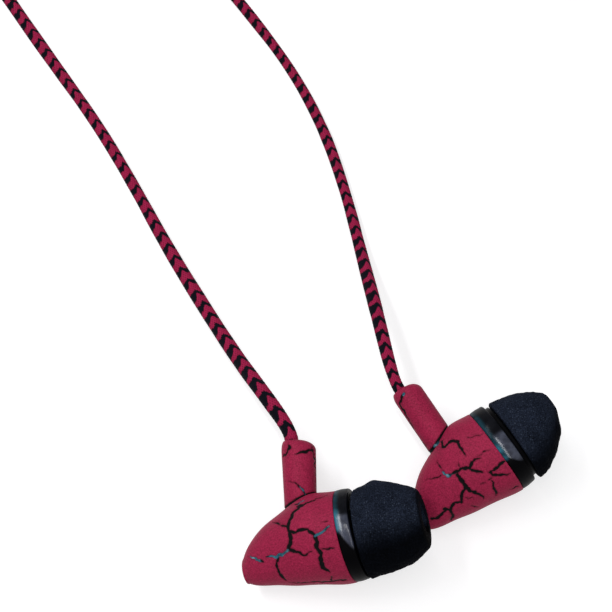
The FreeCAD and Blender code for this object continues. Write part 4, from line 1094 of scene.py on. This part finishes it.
# How far its rear face slants; where its painted shade towards the table starts and over how much it
# goes; and how much darker the left one's nose is painted as shade, from where and over what distance.
FOAM_SLANTS = {"left": 0.12 * MM, "right": 0.1 * MM}
FOAM_SHADES = {"left": (-0.68, 0.75), "right": (-0.9, 0.6)}
NOSE_SHADES = {"left": (0.8, 12.0 * MM, 0.25 * MM), "right": (0.0, 12.0 * MM, 0.25 * MM)}
RIGHT_CORE = [(3.7, 2.65, 0), (3.7, 3.3, 0.1), (8.0, 3.3, 0), (9.0, 2.5, 0), (9.0, 1.5, 0), (8.5, 1.5, 0),
              (8.5, 2.65, 0)]


def foam_rings(side, tips, seed):
    """The outline turned round the axis with small swells, then bent: a ring's shift towards the stem
    is interpolated from the leans, and x moves by slant cos t, fading away from the rear face. The
    seat and the back of the hole stay as they are."""
    outline = rounded_outline(np.array(FOAM_SECTIONS[side]) * MM, tips.skin_step)
    along, radius = outline.T
    outer = np.arange(len(outline)) <= along.argmax()
    near_rear = np.where(along < 3.6 * MM, ramp(radius, 3.4 * MM, MM), 1.0)
    free = np.where(outer, near_rear, ramp(along, 9.7 * MM, MM))[:, None]
    rings = turned_rings(outline, rounds_for(radius.max(), tips.skin_step))
    swell = waves(rings, 4.0 * MM, seed) * 1.2 + waves(rings, 0.9 * MM, seed + 5) * 0.6
    upwards = rings[..., 1] / np.hypot(rings[..., 1], rings[..., 2])
    outward = rings * np.array([0, 1, 1]) / radius[:, None, None]
    rings = rings + outward * (swell * tips.unevenness * free * outer[:, None])[..., None]
    places, shifts = np.array(FOAM_LEANS[side]).T * MM
    rings[..., 1] += np.interp(along, places, shifts)[:, None] * free
    rings[..., 0] += upwards * free * (FOAM_SLANTS[side] * ramp(along, 7.0 * MM, -4.0 * MM)[:, None])
    # Painted shade: the foam darkens away from the stem's side, and the left tip's nose more.
    shade = 0.1 + 0.9 * smoothed(ramp(upwards, *FOAM_SHADES[side]))
    darker, start, span = NOSE_SHADES[side]
    return rings, shade * (1 - darker * ramp(along, start, span))[:, None]


class EARPHONES_OT_ear_tips(Operator):
    """Add the foam ear tips with their soft, slightly uneven skin"""
    bl_idname = "earphones.ear_tips"
    bl_label = "Foam ear tips"

    def execute(self, context):
        for number, side in enumerate(SIDES):
            rings, shade = foam_rings(side, context.scene.earphone_tips, SEED + number)
            mesh = skin(side + "_foam_tip", laid(side, rings), rows_close=True)
            add_attribute(mesh, "shade", shade.ravel())
            piece = new_piece(mesh, side + "_ear_tip", "foam", side + "_ear_tip_foam")
        outline = rounded_outline(np.array(RIGHT_CORE) * MM, 0.3 * MM)
        mesh = skin("right_core_tube", laid("right", turned_rings(outline, 64)), rows_close=True)
        new_piece(mesh, "right_ear_tip", "tip_core", "right_ear_tip_core")
        return {"FINISHED"}


# Cords

# Points that each cord passes, in millimetres: first along the photographed cord or from the splitter
# to its coil, then from the coil to the splitter or the plug.
ROUTES = {
    "left": (
        [(-20.9, 13.4, 7.9), (-24.15, 19.0, 4.6), (-28.85, 27.4, 1.7), (-35.55, 38.9, 1.14),
         (-41.35, 50.1, 1.0), (-47.25, 60.4, 0.9), (-54.5, 71.0, 0.9), (-61.7, 81.8, 0.95),
         (-67.8, 91.3, 1.65)],
        [(-67.8, 110.6, 4.1), (-65.6, 118.0, 2.4), (-57.4, 123.2, 1.0), (-46.5, 124.4, 1.0),
         (-35.4, 123.4, 1.3), (-26.2, 122.1, 2.2)]),
    "right": (
        [(-4.1, 26.6, 6.4), (-5.9, 37.0, 1.6), (-8.25, 48.0, 0.9), (-11.65, 59.2, 0.86),
         (-16.85, 70.0, 0.86), (-24.7, 81.4, 0.9), (-32.3, 91.0, 1.65)],
        [(-32.5, 110.2, 4.1), (-30.7, 116.2, 3.1), (-25.6, 118.9, 2.2)]),
    "main": (
        [(0.2, 120.5, 2.2), (5.4, 117.2, 1.9), (7.0, 111.0, 1.65)],
        [(38.05, 110.6, 9.0), (38.4, 118.0, 6.9), (36.4, 125.0, 4.4), (31.6, 130.0, 3.0)]),
}
# How far up the socket's way out a branch cord has its first points, and how far to the side of the
# splitter's axis it ends, in millimetres.
LEADS = {"left": (0, 1.7, 4.4), "right": (0, 1.7, 4.8)}
SPREADS = {"left": 1.6, "right": -1.6}

# Coils: centre, radius of the first half turn, sense as seen from above, half turns of each layer.
COILS = {
    "left": ((-57.0, 102.0), 10.8, -1, (1, 2)),
    "right": ((-20.5, 102.0), 12.0, -1, (1, 2)),
    "main": ((21.3, 102.0), 14.3, 1, (5, 5, 5, 5)),
}
COIL_HEIGHT = 1.65 * MM
COIL_LEAD = 2.0 * MM
# The splitter's rear end and the plug's grip, where their axes lie; and how far cords reach into them.
SPLITTER_PLACE = (-20.0, 120.5, 2.2)
SPLITTER_LENGTH = 15.0
SPLITTER_SOCKET = 2.0
SPLITTER_TAIL = 1.9 * MM
PLUG_PLACE = (18.0, 130.0, 3.0)
PLUG_SOCKET = 5.0

# How each cord looks along its way: the distance from its start in millimetres, its thickness and its
# chevrons' pitch against the settings', turns by which the chevrons' points lie to the right, and the
# dark yarn's share.
CORD_RUNS = {
    "left": [(0, 0.97, 1.34, 0.02, 0.42), (5, 1.0, 1.34, 0.02, 0.42), (9, 1.09, 1.34, 0.02, 0.41),
             (18, 1.11, 1.29, 0.015, 0.38), (27, 1.05, 1.13, -0.01, 0.36), (35, 1.06, 1.11, 0.0, 0.34),
             (44, 0.97, 1.1, 0.02, 0.31), (53, 0.9, 1.08, 0.03, 0.31), (72, 0.88, 1.05, 0.015, 0.3),
             (82, 0.98, 1.03, 0.02, 0.31), (95, 1.0, 1.0, 0.02, 0.34)],
    "right": [(0, 0.88, 0.98, -0.02, 0.33), (5, 0.88, 0.98, -0.02, 0.33), (9, 0.96, 1.04, 0.01, 0.36),
              (17, 1.03, 1.16, 0.045, 0.4), (25, 0.99, 1.13, 0.05, 0.38), (32, 0.9, 1.02, 0.02, 0.35),
              (40, 0.84, 0.98, 0.0, 0.34), (49, 0.87, 0.98, 0.02, 0.33), (57, 0.81, 0.96, 0.045, 0.32),
              (67, 0.78, 0.95, 0.045, 0.32), (85, 0.96, 1.0, 0.03, 0.34)],
    "main": [(0, 1.0, 1.0, 0.02, 0.36)],
}


def socket_bottom(side, sizes):
    """The bottom of a stem's cord socket, the point where the cord leaves the stem, and the way out."""
    start, direction, rearward = stem_axes(side)
    bottom = start + (sizes.stem_reach - sizes.socket_depth) * direction + STEMS[side]["socket"] * rearward
    mouth = bottom + sizes.socket_depth * direction
    return laid(side, bottom), laid(side, mouth), turn_matrix(side) @ direction


def beyond(place, along, aside=0.0):
    """A point on a piece's axis, or beside it, a distance along X from its place."""
    return np.array([[place[0] + along, place[1] + aside, place[2]]]) * MM


def half_turns(layers, radius, pitch):
    """Radius and rise of each half turn: the radius changes by half the pitch, inwards in even layers
    and outwards in odd ones, and the half turn between two layers climbs one pitch."""
    result = []
    for layer, count in enumerate(layers):
        step = -pitch / 2 if layer % 2 == 0 else pitch / 2
        for _ in range(count):
            result.append((radius, 0.0))
            radius += step
        if layer + 1 < len(layers):
            result.append((radius, pitch))
            radius -= step
    return result


def coil_points(name, cords):
    """Control points of a coil: half circles, side by side, with their middles on one line. Each
    half circle's points lie half a step in from its ends and a little outside it, by one over the
    cosine of half a step, so that the spline touches it."""
    (centre_x, centre_y), radius, sense, layers = COILS[name]
    step = np.pi / cords.coil_points
    angle = (np.arange(cords.coil_points) + 0.5) * step
    here = centre_x * MM - radius * MM
    middle_y = centre_y * MM
    height = COIL_HEIGHT
    side = -1
    runs = [np.array([[here, middle_y + sense * COIL_LEAD, height]])]
    for radius_now, rise in half_turns(layers, radius * MM, 2 * cords.radius + cords.turn_gap):
        middle_x = here - side * radius_now
        swing = side * radius_now * (1 / math.cos(step / 2))
        runs.append(np.stack([middle_x + swing * np.cos(angle), middle_y + sense * swing * np.sin(angle),
                              height + rise * (1 - np.cos(angle)) / 2], axis=-1))
        here = here - 2 * side * radius_now
        height += rise
        side = -side
    runs.append(np.array([[here, middle_y + sense * side * COIL_LEAD, height]]))
    return np.concatenate(runs)


def cord_controls(name, sizes, cords):
    """The control points of one cord from end to end."""
    route, tail = (np.array(part) * MM for part in ROUTES[name])
    if name == "main":
        start = beyond(SPLITTER_PLACE, SPLITTER_LENGTH - SPLITTER_SOCKET)
        end = beyond(PLUG_PLACE, PLUG_SOCKET)
    else:
        bottom, _, way = socket_bottom(name, sizes)
        start = bottom + way * np.array(LEADS[name])[:, None] * MM
        end = beyond(SPLITTER_PLACE, SPLITTER_SOCKET, SPREADS[name])
    return np.concatenate([start, route, coil_points(name, cords), tail, end])


def spline_points(name, controls):
    """Points along a NURBS spline of order 3 with the given control points."""
    curve = bpy.data.curves.new(name, "CURVE")
    curve.dimensions = "3D"
    spline = curve.splines.new("NURBS")
    spline.points.add(len(controls) - 1)
    spline.points.foreach_set("co", np.column_stack([controls, np.ones(len(controls))]).ravel())
    spline.order_u = 3
    spline.use_endpoint_u = True
    spline.resolution_u = 14
    holder = bpy.data.objects.new(name, curve)
    bpy.context.scene.collection.objects.link(holder)
    bpy.context.view_layer.update()
    mesh = bpy.data.meshes.new_from_object(holder)
    points = np.zeros(len(mesh.vertices) * 3)
    mesh.vertices.foreach_get("co", points)
    bpy.data.objects.remove(holder)
    bpy.data.curves.remove(curve)
    bpy.data.meshes.remove(mesh)
    return points.reshape(-1, 3)


def evenly(points, step):
    """The same line with its points a step apart, and the distance along it of each."""
    whole = way_along(points)[-1]
    where = np.linspace(0, whole, int(np.ceil(whole / step)) + 1)
    return points_at(points, where), where


def braided_tube(name, path, where, sides, cords):
    """A tube round a path: at distance s and angle t its point is path + r (cos t up + sin t across),
    where across is square to the path and level. r swells at each yarn: relief times
    cos(2 pi (8 v + 2 u)) cos(2 pi (8 v - 2 u)), with u in chevrons, which is the sum of ds over the
    pitch, and v in turns. Thickness, pitch, turn and share are interpolated from the cord's runs."""
    runs = np.array(CORD_RUNS[name]).T
    thickness, pitch, turn, share = (np.interp(where / MM, runs[0], row) for row in runs[1:])
    ahead = np.gradient(path, axis=0)
    ahead /= np.linalg.norm(ahead, axis=1)[:, None]
    across = np.cross(ahead, [0, 0, 1])
    across /= np.linalg.norm(across, axis=1)[:, None]
    upward = np.cross(across, ahead)
    column = np.arange(sides + 1) / sides
    wander = 0.014 * np.sin(where / (5.0 * MM)) + 0.012 * np.sin(where / (1.9 * MM) + 1.0)
    around = column[None] + (wander - turn)[:, None]
    along = np.concatenate([[0], np.cumsum(np.diff(where) / (pitch[1:] * cords.chevron))])
    carriers, lay = 8 * around, 2 * along[:, None]
    yarns = np.cos(FULL_TURN * (carriers + lay)) * np.cos(FULL_TURN * (carriers - lay))
    radius = cords.radius * thickness[:, None] + cords.yarn_relief * (yarns - 0.4)
    angle = (FULL_TURN * column[:-1])[:, None]
    outward = np.cos(angle) * upward[:, None] + np.sin(angle) * across[:, None]
    mesh = skin(name + "_braided_cord", path[:, None] + radius[:, :-1, None] * outward)
    corners = grid_uv(len(path), sides, along, around)
    if mesh.loops[0].vertex_index != 0:
        corners = corners[:, ::-1]
    loops = np.zeros((len(mesh.loops), 2))
    loops[:corners.shape[0] * 4] = corners.reshape(-1, 2)
    mesh.uv_layers.new(name="UVMap").data.foreach_set("uv", loops.ravel())
    add_attribute(mesh, "share", np.concatenate([np.repeat(share, sides), share[[0, -1]]]))
    return mesh


class EARPHONES_OT_cords(Operator):
    """Add the three braided cords, each along its own spline"""
    bl_idname = "earphones.cords"
    bl_label = "Braided cords"

    def execute(self, context):
        sizes, cords = context.scene.earphone_housing, context.scene.earphone_cords
        for name in CORD_RUNS:
            sides, step = cords.branch_sides, cords.branch_step
            if name == "main":
                sides, step = cords.main_sides, cords.main_step
            path, where = evenly(spline_points(name + "_line", cord_controls(name, sizes, cords)), step)
            mesh = braided_tube(name, path, where, sides, cords)
            new_piece(mesh, "root", "braid", name + "_cord", name + "_cord_coil", name + "_cord_tail")
        return {"FINISHED"}


class EARPHONES_OT_declare_cords(Operator):
    """Gather each free cord's exit, its length, its far end and the pieces on it, and look up its mesh"""
    bl_idname = "earphones.declare_cords"
    bl_label = "Cord facts"

    def execute(self, context):
        sizes, cords = context.scene.earphone_housing, context.scene.earphone_cords
        pieces = bpy.data.objects
        exits = {side: socket_bottom(side, sizes)[1] for side in SIDES}
        exits["main"] = beyond(SPLITTER_PLACE, SPLITTER_LENGTH)[0]
        facts = {
            "left": (0.3156, "fitting", ["left_tie_band", "splitter_body"]),
            "right": (0.2783, "fitting", ["right_tie_band"]),
            "main": (0.9128, "plug", ["main_tie_band"] + PLUG_PIECES),
        }
        for name, (measured, far_end, others) in facts.items():
            pieces[name + "_braided_cord"]
        return {"FINISHED"}


# Splitter, ties and plug

def cad_box(node_name):
    """The middle of a CAD piece's box and its half sizes."""
    low, high = (np.array(corner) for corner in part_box(node_name))
    return (low + high) / 2, (high - low) / 2


def splitter_grid(centre, half, tail):
    """Rings from the branch cords' end to the main cord's. At share s of the length a ring is the
    superellipse w(s) cos^(2/p), h(s) sin^(2/p) with p = 2.8; w and h go from the body's half sizes to
    the tail's radius by 3 q^2 - 2 q^3, q running from 0.3 to 0.96, and both ends are quarter ellipses."""
    turn = np.linspace(0, np.pi / 2, 9)
    share = np.concatenate([0.05 * (1 - np.cos(turn)), np.linspace(0.05, 0.96, 60)[1:-1],
                            0.96 + 0.04 * np.sin(turn)])
    closing = np.concatenate([0.62 + 0.38 * np.sin(turn), np.ones(58), 0.74 + 0.26 * np.cos(turn)])
    taper = smoothed(ramp(share, 0.30, 0.66))
    width, height = ((size + (tail - size) * taper) * closing for size in half[1:])
    across, up = superellipse(round_angles(64), 2.8)
    along = centre[0] + (2 * share - 1)[:, None] * half[0]
    return np.stack(np.broadcast_arrays(along, centre[1] + width[:, None] * across,
                                        centre[2] + height[:, None] * up), axis=-1)


class EARPHONES_OT_splitter(Operator):
    """Add the moulded splitter where the branch cords join the main cord"""
    bl_idname = "earphones.splitter"
    bl_label = "Splitter"

    def execute(self, context):
        mesh = skin("splitter_body", splitter_grid(*cad_box("y_splitter"), SPLITTER_TAIL))
        new_piece(mesh, "root", "black_rubber", "y_splitter")
        return {"FINISHED"}


def band_grid(centre, half, wall):
    """A band with rounded corners and edges. Round the loop, angle t gives a superellipse of power 5
    in the YZ plane; round the band's own section, angle p gives a superellipse of power 4, half the
    wall thick and half the breadth wide."""
    loop = np.stack(superellipse(round_angles(96), 5))
    thick, broad = superellipse(round_angles(20), 4)
    out = loop * np.abs(loop) ** 4
    out /= np.hypot(*out)
    middle = (half[1:, None] - wall / 2) * loop
    y, z = middle[..., None] + out[..., None] * thick * wall / 2
    return centre + np.stack([0 * y + broad * half[0], y, z], axis=-1)


class EARPHONES_OT_ties(Operator):
    """Add the bands that hold the three coils"""
    bl_idname = "earphones.ties"
    bl_label = "Coil ties"

    def execute(self, context):
        wall = context.scene.earphone_cords.tie_wall
        for name in COILS:
            band = band_grid(*cad_box(name + "_coil_tie"), wall)
            mesh = skin(name + "_tie_band", band, rows_close=True)
            new_piece(mesh, "root", "tie_band", name + "_coil_tie")
        return {"FINISHED"}


def tube(start, end, radius, rounding=0):
    """The outline of a tube round the plug's inner pin."""
    return [(start, 0.85, 0), (start, radius, rounding), (end, radius, rounding), (end, 0.85, 0)]


# Outlines of the plug's pieces along its axis from the rear face of the grip: along, radius, rounding.
PLUG_OUTLINES = {
    "plug_grip": ("gloss_black", [
        (0, 2.33, 0), (0, 3.0, 0.45), (16.0, 3.0, 0.45), (16.0, 1.48, 0), (12.0, 1.48, 0), (12.0, 1.9, 0),
        (2.0, 1.9, 0), (2.0, 2.33, 0)]),
    "plug_flange": ("gold", [(16.0, 1.48, 0), (16.0, 2.6, 0.1), (16.8, 2.6, 0.25), (16.8, 1.48, 0)]),
    "plug_sleeve": ("gold", [(12.0, 0.85, 0), (12.0, 1.45, 0), (16.8, 1.45, 0), (16.8, 1.75, 0.02),
                             (23.4, 1.75, 0.06), (23.4, 0.85, 0)]),
    "plug_rear_insulator": ("insulator", tube(23.4, 24.1, 1.73)),
    "plug_ring": ("gold", tube(24.1, 26.3, 1.75, 0.06)),
    "plug_front_insulator": ("insulator", tube(26.3, 27.0, 1.73)),
    "plug_tip": ("gold", [(12.0, 0.0, 0), (12.0, 0.8, 0), (27.0, 0.8, 0), (27.0, 1.75, 0.08),
                          (27.9, 1.15, 0.5), (28.6, 1.55, 0.35), (30.0, 1.0, 0.4), (30.8, 0.35, 0.3),
                          (30.8, 0.0, 0)]),
}
PLUG_STEP = 0.3 * MM
PLUG_GLOSS = 0.3
RELIEF = {"length": 9.0, "rear": 1.5, "foot": 2.3, "plug": 2.0, "socket": 4.0, "grooves": 3,
          "pitch": 2.2, "start": 1.4, "width": 0.8, "depth": 0.35}
PLUG_PIECES = [name + "_part" for name in list(PLUG_OUTLINES) + ["plug_relief"]]


def relief_outline(bore):
    """The strain relief: a taper with rounded grooves, a socket for the cord and a foot in the grip."""
    end, foot, plug, depth = (RELIEF[name] for name in ("length", "foot", "plug", "depth"))
    slope = (foot - RELIEF["rear"]) / end
    corners = [(plug, 0.6, 0), (plug, foot, 0), (0, foot, 0)]
    for index in range(RELIEF["grooves"]):
        front = -(RELIEF["start"] + index * RELIEF["pitch"])
        rear = front - RELIEF["width"]
        for along, sunk in ((front, 0), (front, depth), (rear, depth), (rear, 0)):
            corners.append((along, foot + along * slope - sunk, 0.12))
    inner = RELIEF["socket"] - end
    return corners + [(-end, RELIEF["rear"], 0.25), (-end, bore, 0.05), (inner, bore, 0), (inner, 0.6, 0)]


class EARPHONES_OT_plug(Operator):
    """Add the plug: strain relief, grip, flange and three contacts with their insulators"""
    bl_idname = "earphones.plug"
    bl_label = "Plug"

    def execute(self, context):
        bore = context.scene.earphone_cords.radius / MM + SOCKET_GAP
        outlines = {**PLUG_OUTLINES, "plug_relief": ("black_rubber", relief_outline(bore))}
        for name, (slot, corners) in outlines.items():
            closed = corners[0][1] > 0
            outline = rounded_outline(np.array(corners) * MM, PLUG_STEP, closed)
            if not closed:
                outline = outline[1:-1]
            # The plug points along -X.
            rings = turned_rings(outline, 56) * np.array([-1, -1, 1]) + np.array(PLUG_PLACE) * MM
            mesh = skin(name + "_part", rings, rows_close=closed)
            if slot == "gloss_black":
                add_attribute(mesh, "rim", np.zeros(len(mesh.vertices)))
                add_attribute(mesh, "gloss", np.full(len(mesh.vertices), PLUG_GLOSS))
            new_piece(mesh, "root", slot, name)
        return {"FINISHED"}


# Pieces inside, which keep their CAD shapes

INNER_FINISHES = {
    "nozzle_mesh": "steel_mesh",
    "nozzle_damper": "damper_cloth",
    "driver_frame": "black_plastic",
    "diaphragm": "diaphragm_film",
    "voice_coil": "copper",
    "magnet_yoke": "plated_steel",
    "driver_magnet": "magnet",
    "driver_top_plate": "plated_steel",
    "ear_tip_core": "tip_core",
    "terminal_board": "board",
    "cord_knot": "black_rubber",
}


class EARPHONES_OT_inner_pieces(Operator):
    """Give the driver's pieces, the left tip's core and the nozzles' screens their finishes"""
    bl_idname = "earphones.inner_pieces"
    bl_label = "Inner pieces"

    def execute(self, context):
        for side in SIDES:
            for part, name in INNER_FINISHES.items():
                if (side, part) != ("right", "ear_tip_core"):
                    mesh = frame["nodes"][side + "_" + part].data
                    mesh.materials.clear()
                    mesh.materials.append(finish(name))
        return {"FINISHED"}


# Studio

# Strip soft boxes: the two ends of each in metres, its breadth and its power in watts.
SOFT_BOXES = {
    "west_box": ((-0.285, 0.42, 0.33), (-0.255, -0.04, 0.54), 0.075, 1.38),
    "south_box": ((-0.255, -0.04, 0.54), (-0.13, -0.47, 0.35), 0.02, 0.2),
    "east_box": ((-0.14, 0.10, 0.57), (0.24, -0.42, 0.36), 0.035, 1.02),
}
LAMP_COLOUR = (0.98, 0.97, 1.0)
WHITE = (1.0, 1.0, 1.0)
FLOOR_HALF = 2.0


def white_for_sight(tree, dark, strength):
    """Plain light from a surface that is white to the camera and in reflections."""
    camera = node(tree, "LightPath", {}, "Is Camera Ray")
    seen = camera + (camera.beside("Is Glossy Ray") + camera.beside("Is Transmission Ray"))
    return seen.calc("MINIMUM", 1.0) * strength + dark


class EARPHONES_OT_camera(Operator):
    """Add the camera at the photograph's viewing angle"""
    bl_idname = "earphones.camera"
    bl_label = "Camera"

    def execute(self, context):
        studio = context.scene.earphone_studio
        lens = bpy.data.cameras.new("camera")
        lens.lens = studio.lens
        lens.sensor_width = studio.sensor
        lens.clip_start = 0.01
        lens.clip_end = 10.0
        camera = bpy.data.objects.new("camera", lens)
        camera.location = (studio.aim_x, studio.aim_y - studio.distance * math.cos(studio.elevation),
                           studio.distance * math.sin(studio.elevation))
        camera.rotation_euler = (math.pi / 2 - studio.elevation, 0, 0)
        context.scene.collection.objects.link(camera)
        context.scene.camera = camera
        return {"FINISHED"}


def add_soft_box(scene, name, first, last, breadth, power):
    """A rectangular lamp from one point to another, whose face looks at the middle of the table."""
    lamp = bpy.data.lights.new(name, "AREA")
    lamp.shape = "RECTANGLE"
    lamp.size, lamp.size_y = breadth, (last - first).length
    lamp.energy = power
    lamp.color = LAMP_COLOUR
    holder = bpy.data.objects.new(name, lamp)
    holder.location = (first + last) / 2
    lengthwise = (last - first).normalized()
    crosswise = lengthwise.cross(holder.location).normalized()
    axes = Matrix((crosswise, lengthwise, crosswise.cross(lengthwise))).transposed()
    holder.rotation_euler = axes.to_euler()
    scene.collection.objects.link(holder)


class EARPHONES_OT_stage(Operator):
    """Add the pale floor, the soft boxes and the light of the surroundings"""
    bl_idname = "earphones.stage"
    bl_label = "Floor and lights"

    def execute(self, context):
        scene = context.scene
        ambient = scene.earphone_studio.ambient
        scene.view_settings.view_transform = "Standard"
        tree = new_material("floor_paper")
        surface(tree, Base_Color=(0.55, 0.55, 0.55), Roughness=0.9, Specular_IOR_Level=0.1,
                Normal=bump(grain(tree, 600.0, 0.5), 0.01, 0.1),
                Emission_Color=WHITE, Emission_Strength=white_for_sight(tree, 0.0, 0.62))
        mesh = bpy.data.meshes.new("floor")
        corners = [(x * FLOOR_HALF, y * FLOOR_HALF, 0) for x, y in ((-1, -1), (1, -1), (1, 1), (-1, 1))]
        mesh.from_pydata(corners, [], [(0, 1, 2, 3)])
        mesh.materials.append(finish("floor_paper"))
        floor = bpy.data.objects.new("floor", mesh)
        scene.collection.objects.link(floor)
        scene.world = bpy.data.worlds.new("surroundings")
        scene.world.use_nodes = True
        background = scene.world.node_tree.nodes["Background"].inputs
        feed(background["Color"], WHITE)
        feed(background["Strength"], white_for_sight(scene.world.node_tree, ambient, 1.0 - ambient))
        for name, (first, last, breadth, power) in SOFT_BOXES.items():
            add_soft_box(scene, name, Vector(first), Vector(last), breadth, power)
        return {"FINISHED"}


OPERATORS = (
    EARPHONES_OT_camera,
    EARPHONES_OT_cords,
    EARPHONES_OT_housings,
    EARPHONES_OT_stems,
    EARPHONES_OT_front_caps,
    EARPHONES_OT_ear_tips,
    EARPHONES_OT_inner_pieces,
    EARPHONES_OT_splitter,
    EARPHONES_OT_ties,
    EARPHONES_OT_plug,
    EARPHONES_OT_declare_cords,
    EARPHONES_OT_stage,
)


class EARPHONES_PT_panel(Panel):
    """The earphones' sizes, colours and building steps"""
    bl_idname = "EARPHONES_PT_panel"
    bl_label = "Earphones"
    bl_space_type = "VIEW_3D"
    bl_region_type = "UI"
    bl_category = "Earphones"

    def draw(self, context):
        for holder, group in SETTINGS.items():
            box = self.layout.box()
            for name in group.__annotations__:
                box.prop(getattr(context.scene, holder), name)
        for operator in OPERATORS:
            self.layout.operator(operator.bl_idname)


CLASSES = (*SETTINGS.values(), *OPERATORS, EARPHONES_PT_panel)


def register():
    """Adds the settings, the operators and the panel."""
    for item in CLASSES:
        bpy.utils.register_class(item)
    for holder, group in SETTINGS.items():
        setattr(bpy.types.Scene, holder, PointerProperty(type=group))


def unregister():
    """Takes them all away again."""
    for holder in SETTINGS:
        delattr(bpy.types.Scene, holder)
    for item in reversed(CLASSES):
        bpy.utils.unregister_class(item)


def main():
    """Builds everything in order."""
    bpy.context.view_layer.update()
    register()
    for operator in OPERATORS:
        group, name = operator.bl_idname.split(".")
        getattr(getattr(bpy.ops, group), name)()


if __name__ == "__main__":
    main()
